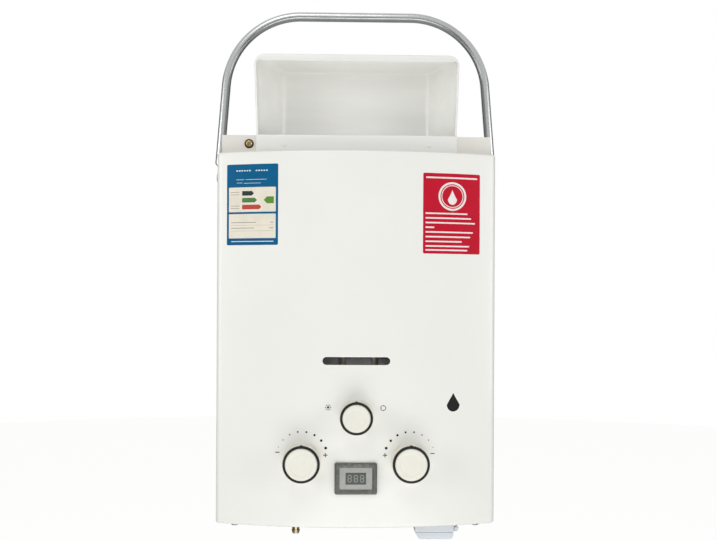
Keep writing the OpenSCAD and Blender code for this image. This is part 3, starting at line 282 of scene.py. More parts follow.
def dress(name, mesh, body, slot, material, inside=None, merge=0.004, replaces=(), modifiers=(), sharp=35):
    """Closes a mesh's seams and poles, turns its faces outward, applies its modifiers, and lets it ride on its body.
    inside is a point that an open shell's faces look away from."""
    bm = bmesh.new()
    bm.from_mesh(mesh)
    bmesh.ops.remove_doubles(bm, verts=bm.verts, dist=merge * MM)
    bmesh.ops.recalc_face_normals(bm, faces=bm.faces)
    origin = Vector(inside if inside is not None else (0, 0, 0)) * MM
    facing = sum(f.calc_area() * f.normal.dot(f.calc_center_median() - origin) for f in bm.faces)
    if facing < 0:
        bmesh.ops.reverse_faces(bm, faces=bm.faces)
    bm.to_mesh(mesh)
    bm.free()
    obj = bpy.data.objects.new(name, mesh)
    bpy.context.scene.collection.objects.link(obj)
    for kind, settings in modifiers:
        modifier = obj.modifiers.new(kind.title(), kind)
        for key, value in settings.items():
            setattr(modifier, key, value)
    if modifiers:
        graph = bpy.context.evaluated_depsgraph_get()
        obj.data = bpy.data.meshes.new_from_object(obj.evaluated_get(graph))
        obj.data.name = name
        obj.modifiers.clear()
    obj.data.polygons.foreach_set("use_smooth", [True] * len(obj.data.polygons))
    obj.data.set_sharp_from_angle(angle=radians(sharp))
    obj.data.materials.clear()
    obj.data.materials.append(material)
    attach(obj, body)
    if replaces:
        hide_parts(*replaces)


def thick(width):
    """Gives a sheet its thickness, inward from its outer face."""
    return "SOLIDIFY", {"thickness": width * MM, "offset": -1.0, "use_even_offset": True}


def eased(width, segments=2):
    """Rounds the sharp edges."""
    return "BEVEL", {
        "width": width * MM,
        "segments": segments,
        "limit_method": "ANGLE",
        "angle_limit": radians(40),
        "harden_normals": False,
    }


def softened(node, body, slot, material, width, segments=2):
    """A copy of a CAD node with its triangles merged, its flat faces joined and its edges rounded."""
    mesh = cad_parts[node].data.copy()
    mesh.name = node + "_soft"
    bm = bmesh.new()
    bm.from_mesh(mesh)
    bmesh.ops.remove_doubles(bm, verts=bm.verts, dist=0.002 * MM)
    bmesh.ops.dissolve_limit(bm, angle_limit=radians(1), verts=bm.verts, edges=bm.edges)
    bm.to_mesh(mesh)
    bm.free()
    dress(node + "_soft", mesh, body, slot, material, replaces=(node,), modifiers=[eased(width, segments)], sharp=12)


# ---------- finishes ----------


def add(tree, kind, links=None, values=None, **settings):
    """Adds a node with its settings, its input values, and its links from (node, output) pairs."""
    node = tree.nodes.new(kind)
    for key, value in settings.items():
        setattr(node, key, value)
    for key, value in (values or {}).items():
        node.inputs[key].default_value = value
    for key, (source, output) in (links or {}).items():
        tree.links.new(source.outputs[output], node.inputs[key])
    return node


def finish(name, base, other, blotch, rough, metal=0.0, grain=1.0, relief=0.02, stretch=(1, 1, 1), cells=0.0,
           spread=(0.35, 0.65), **sockets):
    """A finish on object coordinates. Its colour runs between base and other in blotches, or in crystal cells, of a
    size in millimetres, its roughness varies with the same pattern, and a grain of a size in millimetres stands
    relief millimetres high. stretch draws the pattern out along an axis. The rest are shader sockets."""
    material = bpy.data.materials.new(name)
    material.use_nodes = True
    tree = material.node_tree
    shader = tree.nodes["Principled BSDF"]
    shader.inputs["Metallic"].default_value = metal
    for key, value in sockets.items():
        shader.inputs[key.replace("_", " ").title().replace("Ior", "IOR")].default_value = value
    place = add(tree, "ShaderNodeTexCoord")
    drawn = add(tree, "ShaderNodeMapping", {"Vector": (place, "Object")}, {"Scale": stretch})
    if cells:
        pattern = add(tree, "ShaderNodeTexVoronoi", {"Vector": (drawn, "Vector")}, {"Scale": 1 / (cells * MM)})
        level = (pattern, "Color")
    else:
        pattern = add(tree, "ShaderNodeTexNoise", {"Vector": (drawn, "Vector")},
                      {"Scale": 1 / (blotch * MM), "Detail": 5.0, "Roughness": 0.6})
        level = (pattern, "Fac")
    ramp = add(tree, "ShaderNodeMapRange", {"Value": level},
               {"From Min": spread[0], "From Max": spread[1]}, interpolation_type="SMOOTHSTEP")
    mix = add(tree, "ShaderNodeMix", {"Factor": (ramp, "Result")}, data_type="RGBA")
    mix.inputs[6].default_value, mix.inputs[7].default_value = base, other
    tree.links.new(mix.outputs[2], shader.inputs["Base Color"])
    gloss = add(tree, "ShaderNodeMapRange", {"Value": level},
                {"From Min": spread[0], "From Max": spread[1], "To Min": rough[0], "To Max": rough[1]})
    tree.links.new(gloss.outputs["Result"], shader.inputs["Roughness"])
    if relief:
        noise = add(tree, "ShaderNodeTexNoise", {"Vector": (drawn, "Vector")},
                    {"Scale": 1 / (grain * MM), "Detail": 3.0, "Roughness": 0.55})
        bump = add(tree, "ShaderNodeBump", {"Height": (noise, "Fac")},
                   {"Strength": 1.0, "Distance": relief * MM})
        tree.links.new(bump.outputs["Normal"], shader.inputs["Normal"])
    return material


def shade(c, k):
    """A colour made darker or lighter by a factor."""
    return (*[min(1.0, v * k) for v in c[:3]], 1.0)


FINISH = {}


def make_finishes(c):
    """Every finish of the object, named for its material and how its surface was made."""
    # Stoved white enamel on steel: smooth, half gloss, a faint orange peel
    FINISH["enamel"] = finish("stoved_white_enamel", c.cover, shade(c.cover, 0.985), 60, (0.30, 0.36),
                              grain=2.2, relief=0.006, coat_weight=0.25, coat_roughness=0.12)
    # The same enamel on the deck and rail, a little greyer than the cover: partly its own tone, partly painted shade
    # for the rail behind the cover's top edge
    FINISH["rail"] = finish("stoved_greyish_enamel_and_painted_shade", c.rail, shade(c.rail, 0.97), 40, (0.38, 0.46),
                            grain=1.8, relief=0.01)
    # Hot-dip galvanised sheet: crystal spangle that shifts in brightness
    FINISH["galvanised"] = finish("galvanised_sheet", c.galvanised, shade(c.galvanised, 0.80),
                                  0, (0.34, 0.52), metal=0.85, cells=9, grain=3, relief=0.01, spread=(0.1, 0.9))
    # Cold-rolled sheet with a satin coating: fine rolling lines across the hood
    FINISH["hood"] = finish("satin_rolled_sheet", c.hood, shade(c.hood, 0.96), 25, (0.34, 0.44), metal=0.12,
                            grain=1.2, relief=0.006, stretch=(0.12, 1, 1))
    # Polished steel tube with light draw marks along its length
    FINISH["steel"] = finish("polished_steel_tube", c.steel, shade(c.steel, 0.92), 22, (0.20, 0.27), metal=1.0,
                             grain=1.5, relief=0.0012, stretch=(1, 1, 0.15))
    # Pressed sheet steel of the burner, dulled
    FINISH["sheet"] = finish("pressed_steel", c.zinc, shade(c.zinc, 0.82), 12, (0.32, 0.5), metal=1.0,
                             grain=1.0, relief=0.01)
    # Bright zinc plating on screws
    FINISH["zinc"] = finish("zinc_plated_steel", c.zinc, shade(c.zinc, 0.85), 3, (0.25, 0.4), metal=1.0,
                            grain=0.5, relief=0.01)
    # Yellow chromate over zinc: straw colour with a warmer drift
    FINISH["zinc_yellow"] = finish("yellow_passivated_zinc", c.zinc_yellow, linear("A88A4C"), 2, (0.22, 0.35),
                                   metal=1.0, grain=0.5, relief=0.01)
    # Copper of the exchanger, with duller oxidised patches
    FINISH["copper"] = finish("drawn_copper", c.copper, linear("8E5238"), 16, (0.25, 0.45), metal=1.0,
                              grain=1.0, relief=0.01)
    # Machined brass fittings, slightly tarnished
    FINISH["brass"] = finish("machined_brass", c.brass, linear("9C8A66"), 7, (0.22, 0.38), metal=1.0,
                             grain=0.6, relief=0.01)
    # Die-cast zinc alloy: dull, with a fine cast skin
    FINISH["die_cast"] = finish("die_cast_alloy", linear("B4B1A9"), linear("8F8D86"), 9, (0.42, 0.6), metal=0.9,
                                grain=0.7, relief=0.04)
    # Glazed alumina of the electrodes
    FINISH["ceramic"] = finish("glazed_alumina", linear("EEEBE0"), linear("E0D8C8"), 5, (0.18, 0.3),
                               grain=0.8, relief=0.01)
    # Injection-moulded ABS in cream: even, satin, very fine spark-eroded texture
    FINISH["knob"] = finish("moulded_cream_abs", c.knob, shade(c.knob, 0.975), 12, (0.36, 0.46),
                            grain=0.6, relief=0.008, ior=1.53)
    # The same plastic in black for the rings, and for the dark washer under the rail screw, which is painted shade
    # round the screw head
    FINISH["ring"] = finish("moulded_black_abs", c.ring, shade(c.ring, 1.4), 6, (0.4, 0.5),
                            grain=0.5, relief=0.004, ior=1.53, specular_ior_level=0.3)
    # Plain white plastic of the igniter box and washers
    FINISH["white"] = finish("moulded_white_nylon", linear("EDECE6"), linear("DEDCD4"), 10, (0.4, 0.52),
                             grain=0.8, relief=0.01, ior=1.53)
    # Grey ABS frame of the display, lightly scuffed
    FINISH["bezel"] = finish("moulded_grey_abs", c.bezel, linear("7C7D77"), 4, (0.38, 0.55),
                             grain=0.5, relief=0.015, spread=(0.45, 0.75), ior=1.53)
    FINISH["panel"] = finish("moulded_silver_grey_abs", c.panel, shade(c.panel, 0.93), 6, (0.4, 0.5),
                             grain=0.5, relief=0.01, metal=0.1)
    # Smoked acrylic window, polished
    FINISH["window"] = finish("smoked_acrylic", c.window, shade(c.window, 1.25), 7, (0.06, 0.12), relief=0.0,
                              ior=1.49)
    FINISH["digit"] = finish("unlit_segment", c.digit, shade(c.digit, 0.9), 3, (0.3, 0.4), relief=0.0)
    # Glass-fibre circuit board under green resist
    FINISH["board"] = finish("circuit_board_resist", linear("2C5B3A"), linear("1F4429"), 3, (0.3, 0.45),
                             grain=0.6, relief=0.02)
    # Frosted polypropylene, part see-through; its blue-grey tint is painted shade, the cool shade on the box's
    # underside
    FINISH["box"] = finish("moulded_frosted_polypropylene", c.box, shade(c.box, 0.97), 15, (0.35, 0.45),
                           grain=0.7, relief=0.01, ior=1.49, transmission_weight=0.15)
    # Printed film sleeve of the cells
    FINISH["sleeve"] = finish("printed_film_sleeve", linear("3A6EA5"), linear("2B5684"), 8, (0.25, 0.35),
                              relief=0.0, coat_weight=0.5)
    # Screen-printed ink on the enamel, dense and slightly matt
    FINISH["ink"] = finish("screen_printed_ink", c.ink, shade(c.ink, 1.5), 1.5, (0.5, 0.65), relief=0.0,
                           specular_ior_level=0.2)
    # Satin vinyl stickers: saturated, with little glare
    for key, tone in (("blue", c.label_blue), ("cream", c.label_cream), ("red", c.label_red)):
        FINISH[key] = finish("satin_vinyl_" + key, tone, shade(tone, 0.93), 14, (0.42, 0.5),
                             grain=1.5, relief=0.004, specular_ior_level=0.1)
    for key, code in (("pale", "EAF2F4"), ("white_ink", "F3ECEA"), ("dark", "27332F"), ("green", "4E7F43"),
                      ("bar_red", "C0453F"), ("grey", "8B8B82"), ("lime", "5C8F2E")):
        FINISH[key] = finish("label_ink_" + key, linear(code), shade(linear(code), 0.94), 4, (0.42, 0.5),
                             relief=0.0, specular_ior_level=0.22)


NODE_FINISH = {
    "rail": ("top_deck",),
    "galvanised": ("back_plate", "bottom_plate", "flue_collector"),
    "hood": ("flue_hood",),
    "enamel": ("front_cover",),
    "steel": ("handle_tube",),
    "sheet": ("burner_frame", "burner_bars", "push_rod", "gas_spindle", "water_spindle", "season_spindle"),
    "zinc": ("cover_screws", "hood_rivets", "valve_screws", "battery_springs", "lid_pin", "handle_bolts"),
    "zinc_yellow": ("rail_screw",),
    "copper": ("heat_exchanger_fins", "heat_exchanger_tubes", "combustion_chamber", "chamber_coil", "cold_pipe",
               "hot_pipe"),
    "brass": ("gas_manifold", "gas_inlet", "water_valve_body", "diaphragm_housing", "pipe_nuts", "water_inlet",
              "water_outlet"),
    "die_cast": ("season_valve_body", "gas_feed_pipe", "gas_valve_body"),
    "ceramic": ("spark_electrode", "flame_sensor"),
    "knob": ("knob_seats", "gas_knob_cap", "water_knob_cap", "season_knob_cap"),
    "ring": ("gas_knob_skirt", "water_knob_skirt", "season_knob_skirt", "overheat_cutout", "micro_switch"),
    "white": ("igniter_box", "handle_spacers"),
    "bezel": ("display_bezel",),
    "panel": ("display_panel",),
    "window": ("display_window",),
    "board": ("display_board",),
    "box": ("battery_box", "battery_lid"),
    "sleeve": ("battery_cells",),
}


class HEATER_OT_finishes(bpy.types.Operator):
    """Makes the finishes and gives one to every node of the frame"""

    bl_idname = "heater.finishes"
    bl_label = "Finishes"

    def execute(self, context):
        make_finishes(context.scene.heater_colours)
        for key, nodes in NODE_FINISH.items():
            for node in nodes:
                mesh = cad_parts[node].data
                mesh.materials.clear()
                mesh.materials.append(FINISH[key])
        return {"FINISHED"}


# ---------- case ----------


def cover_columns():
    """Half outline of the cover from above, from the middle of the bow to the wall, with each point's outward
    direction: the bow, the corner arc, and the straight side."""
    fx = HALF_W - CORNER_R
    fy = BOW_CY - sqrt((BOW_R - CORNER_R) ** 2 - fx**2)
    meet = fx * BOW_R / (BOW_R - CORNER_R)
    marks = [0, KNOB_PATCH[0], DISPLAY_PATCH[0], SLOT_PATCH[0], -GAS[0] - KNOB_PATCH[0], -GAS[0],
             -GAS[0] + KNOB_PATCH[0], *NOTCH_MARKS]
    fill = np.arange(0, meet, 3.5)
    fill = fill[np.abs(fill[:, None] - np.array(marks)).min(1) > 1.2]
    x = np.unique(np.r_[marks, fill, meet])
    slope = x / BOW_R
    bow_n = np.stack([slope, -np.sqrt(1 - slope**2)], -1)
    bow_p = np.stack([x, bow(x)], -1)
    a = np.linspace(-np.arccos(fx / (BOW_R - CORNER_R)), 0, 10)[1:]
    corner_n = np.stack([np.cos(a), np.sin(a)], -1)
    corner_p = np.array([fx, fy]) + CORNER_R * corner_n
    y = np.r_[-94.1, -93.3, -92.4, -91.6, RETURN_Y, -88, np.arange(-80, 1, 10)]
    side_p = np.stack([np.full(len(y), HALF_W), y], -1)
    side_n = np.stack([np.ones(len(y)), np.zeros(len(y))], -1)
    return np.vstack([bow_p, corner_p, side_p]), np.vstack([bow_n, corner_n, side_n])


def cover_parts(fold):
    """The cover's sheet: the outline carried down the front, with a folded return along the top and bottom edge whose
    fold shrinks to nothing where the return ends at the sides, and the openings let in."""
    p, n = cover_columns()
    p = np.vstack([p[:0:-1] * (-1, 1), p])
    n = np.vstack([n[:0:-1] * (-1, 1), n])
    radius = fold * smooth((RETURN_Y - p[:, 1]) / 3.8)
    in_y = np.where(np.abs(p[:, 0] - NOTCH_X) < NOTCH_HALF, NOTCH_Y, RETURN_Y)
    arc = np.linspace(0, pi / 2, 6)
    patches = ((SLOT_Z, SLOT_PATCH), (SEASON[2], KNOB_PATCH), (GAS[2], KNOB_PATCH), (DISPLAY[2], DISPLAY_PATCH))
    marks = [z + k * half[1] for z, half in patches for k in (-1, 0, 1)]
    fill = np.arange(Z_BOT + fold, Z_TOP - fold, 5.0)[1:]
    fill = fill[np.abs(fill[:, None] - np.array(marks)).min(1) > 1.6]
    wall = np.unique(np.r_[marks, fill])[::-1]

    def row(inset, z):
        xy = p - n * inset[:, None]
        return np.column_stack([xy, z + 0 * inset])

    def back(z, y):
        there = p[:, 1] < y
        return np.column_stack([p[:, 0], np.where(there, y, p[:, 1]), np.full(len(p), z)])

    rows = [back(Z_TOP, RETURN_Y)]
    rows += [row(radius * (1 - sin(a)), Z_TOP - radius * (1 - cos(a))) for a in arc]
    first = len(rows)
    rows += [row(0 * radius, np.full(len(p), z)) for z in wall]
    rows += [row(radius * (1 - sin(a)), Z_BOT + radius * (1 - cos(a))) for a in arc[::-1]]
    rows += [back(Z_BOT, in_y)]
    points = np.stack(rows)

    keep = np.ones((len(points) - 1, len(p) - 1), bool)
    wall_z = points[:, len(p) // 2, 2]
    mid_x = (p[1:, 0] + p[:-1, 0]) / 2
    front = p[1:, 1] < -SIDE_D
    mid_z = (wall_z[1:] + wall_z[:-1]) / 2
    parts = []
    # Each opening: middle, half size of its patch, half size of its straight core, radius of its rounding
    openings = [
        ((0, SLOT_Z), SLOT_PATCH, (SLOT_HALF[0] - SLOT_HALF[1], 0), SLOT_HALF[1]),
        ((0, SEASON[2]), KNOB_PATCH, (0, 0), 5),
        ((GAS[0], GAS[2]), KNOB_PATCH, (0, 0), 5),
        ((WATER[0], WATER[2]), KNOB_PATCH, (0, 0), 5),
        ((0, DISPLAY[2]), DISPLAY_PATCH, (17.2, 11.7), 1),
    ]
    for centre, half, core, r in openings:
        inside = (np.abs(mid_x - centre[0]) < half[0]) & front
        keep &= ~((np.abs(mid_z - centre[1]) < half[1])[:, None] & inside[None, :])
        xs = p[(np.abs(p[:, 0] - centre[0]) < half[0] + 0.01) & (p[:, 1] < -SIDE_D), 0] - centre[0]
        zs = wall_z[first:][np.abs(wall_z[first:] - centre[1]) < half[1] + 0.01] - centre[1]
        edge = np.vstack([
            np.column_stack([xs[:-1], np.full(len(xs) - 1, zs.max())]),
            np.column_stack([np.full(len(zs) - 1, xs.max()), zs[:-1]]),
            np.column_stack([xs[:0:-1], np.full(len(xs) - 1, zs.min())]),
            np.column_stack([np.full(len(zs) - 1, xs.min()), zs[:0:-1]]),
        ])
        nearest = np.clip(edge, -np.array(core), core)
        away = edge - nearest
        rim = nearest + r * away / np.linalg.norm(away, axis=1, keepdims=True)
        t = np.linspace(0, 1, 5)[:, None, None]
        x, z = np.moveaxis(edge + t * (rim - edge) + centre, -1, 0)
        parts.append(grid(np.stack([x, bow(x), z], -1), wrap_v=True))
    return [grid(points, keep=keep)] + parts


class HEATER_OT_cover(bpy.types.Operator):
    """Bows and folds the front cover and lets in its openings"""

    bl_idname = "heater.cover"
    bl_label = "Front cover"

    def execute(self, context):
        s = context.scene.heater_sizes
        piece("front_cover_sheet", cover_parts(s.fold / MM), "case", "white_enamel", FINISH["enamel"],
              inside=(0, -40, -160), replaces=("front_cover",), modifiers=[thick(SHEET), eased(s.rim / MM)])
        return {"FINISHED"}


class HEATER_OT_plates(bpy.types.Operator):
    """Eases the cut edges of the deck, back plate and bottom plate"""

    bl_idname = "heater.plates"
    bl_label = "Plates"

    def execute(self, context):
        softened("top_deck", "case", "rail_enamel", FINISH["rail"], 0.3)
        softened("back_plate", "case", "galvanised", FINISH["galvanised"], 0.25)
        softened("bottom_plate", "case", "galvanised", FINISH["galvanised"], 0.25)
        return {"FINISHED"}


# ---------- hood ----------

HOOD_LO, HOOD_HI = corners("flue_hood")
HOOD_TOP = HOOD_HI[2]
HOOD_FRONT = -89.0
SILL = 50.0
HOOD_LIP_W = HOOD_HI[0]
HOOD_FOOT_W = 105.4
HOOD_CORNER = 11.0
HOOD_BACK = -24.0
HOOD_BACK_W = 85.0
HOOD_BACK_R = 8.0
HOOD_ROOF_R = 3.0


def hood_parts(fold, rim, lip):
    """The hood's sheet as a loft. A U from one foot over the roof to the other foot is carried from the folded rim
    of the mouth, straight back to where it touches the round back edge, and round that edge. The radius of the edge
    runs from the legs' to the roof's. A flat grid closes the back."""
    leg = np.linspace(0, 1, 17)[:-1]
    arc = np.linspace(0, pi / 2, 11)
    roof = np.linspace(0, 1, 12)[1:]
    top_f, top_b = HOOD_TOP - HOOD_CORNER, HOOD_TOP - HOOD_ROOF_R - 1
    zf, zb = Z_TOP + leg * (top_f - Z_TOP), Z_TOP + leg * (top_b - Z_TOP)
    flare = np.clip((zf - SILL) / (top_f - SILL), 0, 1)
    xf = HOOD_FOOT_W + (HOOD_LIP_W - HOOD_FOOT_W) * flare - HOOD_CORNER
    corner_x, back_x = HOOD_LIP_W - HOOD_CORNER, HOOD_BACK_W - HOOD_BACK_R
    out = np.vstack([
        np.column_stack([np.ones(16), np.zeros(16)]),
        np.column_stack([np.cos(arc), np.sin(arc)]),
        np.column_stack([np.zeros(11), np.ones(11)]),
    ])
    front = np.vstack([
        np.column_stack([xf, zf]),
        np.column_stack([np.full(11, corner_x), np.full(11, top_f)]),
        np.column_stack([corner_x * (1 - roof), np.full(11, top_f)]),
    ]) + HOOD_CORNER * out
    back = np.vstack([
        np.column_stack([np.full(16, back_x), zb]),
        np.column_stack([np.full(11, back_x), np.full(11, top_b)]),
        np.column_stack([back_x * (1 - roof), np.full(11, top_b)]),
    ])

    def mirrored(a):
        return np.vstack([a[:-1] * (-1, 1), a[::-1]])

    out, front, back = mirrored(out), mirrored(front), mirrored(back)
    width = rim + (lip - rim) * smooth((out[:, 1] - 0.35) / 0.65)

    def row(xz, y):
        return np.column_stack([xz[:, 0], y + np.zeros(len(xz)), xz[:, 1]])

    rows = [row(front - out * width[:, None], HOOD_FRONT)]
    rows += [row(front - out * fold * (1 - sin(a)), HOOD_FRONT + fold * (1 - cos(a)))
             for a in np.linspace(0, pi / 2, 6)]
    r = HOOD_BACK_R + (HOOD_ROOF_R - HOOD_BACK_R) * out[:, 1] ** 2
    edge_y = HOOD_BACK - r
    off = ((front - back) * out).sum(1)
    deep = HOOD_FRONT + fold - edge_y
    start = np.arctan2(deep, off) + np.arccos(r / np.hypot(deep, off))

    def fold_row(b):
        xz = back + np.cos(b)[:, None] * out * (HOOD_BACK_R, HOOD_ROOF_R)
        return row(xz, edge_y + r * np.sin(b))

    near, far = rows[-1], fold_row(start)
    rows += [near + (far - near) * k for k in np.linspace(0, 1, 8)[1:]]
    rows += [fold_row(start + (pi / 2 - start) * k) for k in np.linspace(0, 1, 7)[1:]]
    across = back_x * np.linspace(-1, 1, 23)
    up = np.linspace(Z_TOP, top_b, 17)
    wall = np.stack(np.meshgrid(across, [HOOD_BACK], up, indexing="ij"), -1)[:, 0]
    return [grid(np.stack(rows)), grid(wall)]


def flange_parts():
    """The flange over the rail: an upright strip that bends back over the rail's top edge."""
    a = np.linspace(0, pi / 2, 6)
    r = 1.4
    y, z = HOOD_LO[1], SILL + SHEET
    line = np.vstack([
        [[y, Z_TOP + 0.2], [y, Z_TOP + 8], [y, Z_TOP + 16]],
        np.column_stack([y + r * (1 - np.cos(a)), z - r * (1 - np.sin(a))]),
        [[HOOD_FRONT + SHEET, z]],
    ])
    x = np.linspace(-HOOD_FOOT_W, HOOD_FOOT_W, 40)
    points = np.stack([x[None, :] + 0 * line[:, :1], line[:, :1] + 0 * x, line[:, 1:] + 0 * x], -1)
    return [grid(points)]


class HEATER_OT_hood(bpy.types.Operator):
    """Folds the hood from sheet, with its lip, round back edges and front flange"""

    bl_idname = "heater.hood"
    bl_label = "Hood"

    def execute(self, context):
        s = context.scene.heater_sizes
        parts = hood_parts(s.hood_fold / MM, s.hood_rim / MM, s.hood_lip / MM)
        piece("flue_hood_sheet", parts, "case", "hood_metal", FINISH["hood"], inside=(0, -60, 80),
              replaces=("flue_hood",), modifiers=[thick(SHEET), eased(0.25)])
        piece("hood_flange", flange_parts(), "case", "hood_metal", FINISH["hood"], inside=(0, -60, 0),
              modifiers=[thick(SHEET), eased(0.25)])
        return {"FINISHED"}


# ---------- handle ----------

HANDLE_Y = -30.0
LEG_X = 151.6
BOLT_X = 153.2
TUBE_R = 5.0
SPLAY = radians(4.5)
BEND = 84.0
PADDLE = middle("handle_spacers")[2]
BAR_Z = corners("handle_tube")[1][2] - TUBE_R


def handle_parts():
    """The tube from one flattened end to the other: straight legs that lean in, two bends and the top bar. Each end
    turns from a circle to a flat rounded section, whose half width closes along a circle about the pivot."""
    pivot, flat_r, flat_x, flat_t = PADDLE, 7.0, 148.0, 1.5
    low = pivot - flat_r * np.cos(np.linspace(0, pi / 2, 14))
    up = np.linspace(pivot, Z_TOP + 1, 22)[1:]
    z = np.r_[low, up]
    s = smooth((z - pivot - 6.5) / 10.5)
    b_end = np.sqrt(np.clip(flat_r**2 - np.clip(pivot - z, 0, None) ** 2, 1e-6, None))
    centre = np.column_stack([flat_x + (LEG_X - flat_x) * s, np.full(len(z), HANDLE_Y), z])
    normal = np.column_stack([np.ones(len(z)), np.zeros(len(z)), np.zeros(len(z))])
    a, b, power = flat_t + (TUBE_R - flat_t) * s, b_end + (TUBE_R - b_end) * s, 6 - 4 * s

    turn = pi / 2 - SPLAY
    up_way = np.array([-sin(SPLAY), 0, cos(SPLAY)])
    corner = np.array([LEG_X - (BAR_Z - Z_TOP) * tan(SPLAY), HANDLE_Y, BAR_Z])
    cut = BEND * tan(turn / 2)
    foot = np.array([LEG_X, HANDLE_Y, Z_TOP])
    leg_end = corner - up_way * cut
    t = np.linspace(0, 1, 12)[1:, None]
    leg = foot + up_way * 4 + t * (leg_end - foot - up_way * 4)
    side = np.array([cos(SPLAY), 0, sin(SPLAY)])
    bend_c = leg_end - side * BEND
    angles = np.linspace(SPLAY, pi / 2, 36)[1:]
    out = np.column_stack([np.cos(angles), np.zeros(len(angles)), np.sin(angles)])
    bend = bend_c + BEND * out
    top = np.column_stack([np.linspace(bend[-1, 0], 0, 9)[1:], np.full(8, HANDLE_Y), np.full(8, BAR_Z)])
    centre = np.vstack([centre, leg, bend, top])
    normal = np.vstack([normal, side + np.zeros((11, 3)), out, np.array([0, 0, 1]) + np.zeros((8, 3))])
    count = len(centre) - len(z)
    a, b, power = (np.r_[v, np.full(count, w)] for v, w in ((a, TUBE_R), (b, TUBE_R), (power, 2.0)))
    flip = np.array([-1, 1, 1])
    centre = np.vstack([centre, centre[-2::-1] * flip])
    normal = np.vstack([normal, normal[-2::-1] * flip])
    a, b, power = (np.r_[v, v[-2::-1]] for v in (a, b, power))
    return [swept(centre, normal, np.array([0, 1, 0]), (a, b), power)]


def dome(r, h, edge):
    """Profile of a low dome with a rounded rim: a quarter ellipse from the rim to the pole over a short wall."""
    a = np.linspace(0, pi / 2, 8)
    return np.vstack([[[0, 0]], [[r, 0]], np.column_stack([r * np.cos(a), edge + (h - edge) * np.sin(a)])])


class HEATER_OT_handle(bpy.types.Operator):
    """Bends the handle tube and puts domed bolt heads on its pivots"""

    bl_idname = "heater.handle"
    bl_label = "Handle"

    def execute(self, context):
        piece("handle_bar", handle_parts(), "handle", "bright_steel", FINISH["steel"], replaces=("handle_tube",))
        heads = [
            turned(dome(5.6, 1.6, 0.3), (side * BOLT_X, HANDLE_Y, PADDLE), axis)
            for side, axis in ((1, "x"), (-1, "-x"))
        ]
        piece("handle_bolt_domes", heads, "case", "zinc", FINISH["zinc"])
        return {"FINISHED"}


# ---------- screws and rivets ----------

SCREW_R = 4.0
COVER_SCREW_Y = -98.0
RIVET_X = 76.0


def screw_face(r, h, arm, half, depth):
    """Height field of a pan head: a flattened dome less a cross recess with arms of a length and half width, its
    floor reached over a short slope."""
    rows = np.linspace(0, 1, 26) ** 0.9 * r

    def at(radius, t):
        x, z = np.abs(radius * np.cos(t)), np.abs(radius * np.sin(t))
        across, along = np.minimum(x, z), np.maximum(x, z)
        inside = np.clip((half - across) / 0.25, 0, 1) * np.clip((arm - along) / 0.35, 0, 1)
        return h * (1 - (radius / r) ** 4 * 0.55) - depth * inside

    return rows, at


def screw_head(centre, axis, r=SCREW_R, h=2.4, arm=2.3, half=0.55, depth=1.2):
    """A cross-recessed screw head as a polar height field over its round base."""
    rows, at = screw_face(r, h, arm, half, depth)
    t = full_turn(72)[None, :]
    radius = np.r_[rows, r, 0][:, None] + 0 * t
    height = at(radius, t)
    height[-2:] = 0
    a, b = radius * np.cos(t), radius * np.sin(t)
    axes = {"-z": (a, b, -height), "-y": (a, -height, b)}
    return grid(np.stack(axes[axis], -1) + np.asarray(centre, float), wrap_v=True)


class HEATER_OT_fasteners(bpy.types.Operator):
    """Cuts the screw heads and domes the rivets"""

    bl_idname = "heater.fasteners"
    bl_label = "Screws and rivets"

    def execute(self, context):
        _, hi = corners("cover_screws")
        heads = [screw_head((s * (hi[0] - SCREW_R), COVER_SCREW_Y, Z_BOT), "-z") for s in (-1, 1)]
        piece("cover_screw_heads", heads, "case", "zinc", FINISH["zinc"], replaces=("cover_screws",))
        level = middle("hood_rivets")[2]
        domes = [turned(dome(2.1, 1.0, 0.1), (s * RIVET_X, HOOD_LO[1] + 0.05, level), "y", 32) for s in (-1, 1)]
        # The zinc rivets take the white enamel: a painted highlight for their bright glints
        piece("hood_rivet_heads", domes, "case", "zinc", FINISH["enamel"], replaces=("hood_rivets",))
        x, _, z = middle("rail_screw")
        # A dark washer in black plastic under the screw head: painted shade for the shaded ring round the head
        cup = [(0, 0), (4.8, 0), (4.8, 0.5), (4.5, 0.8), (3.6, 1.0), (2.9, 0.7), (0, 0.6)]
        piece("rail_screw_painted_shade_ring", [turned(cup, (x, RETURN_Y, z), "y")], "case", "zinc_yellow", FINISH["ring"])
        head = screw_head((x, RETURN_Y - 0.6, z), "-y", r=3.4, h=2.3, arm=2.0, half=0.5)
        piece("rail_screw_head", [head], "case", "zinc_yellow", FINISH["zinc_yellow"], replaces=("rail_screw",))
        return {"FINISHED"}


# ---------- knobs ----------


def grip_profile(body, face, step, depth):
    """A round grip: a straight body up to the step that carries the ring, then the narrower face that stands through
    the ring, with a rounded front edge and a shallow dish."""
    front, edge, dish = face - 0.3, 1.6, 0.5
    a = np.linspace(0, pi / 2, 9)
    s = np.linspace(0, 1, 7)
    arc = np.column_stack([front - edge + edge * np.cos(a), depth - edge + edge * np.sin(a)])
    slope = np.column_stack([front - 3.4 - 2.4 * s, depth - dish * smooth(s)])
    inner = [(face * 0.3, depth - dish + 0.05), (0, depth - dish + 0.05)]
    wall = [(0, 0), (body - 0.3, 0), (body, 0.3), (body, step - 0.2), (body - 0.2, step), (face, step)]
    return np.vstack([wall, arc, slope, inner])


def ring_profile(inner, outer, depth):
    """A closed ring with eased front edges; its first point comes again at the end."""
    return [(inner, 0), (outer - 0.3, 0), (outer, 0.3), (outer, depth - 0.8), (outer - 0.2, depth - 0.25),
            (outer - 0.7, depth), (inner + 0.4, depth), (inner, depth - 0.4), (inner, 0)]


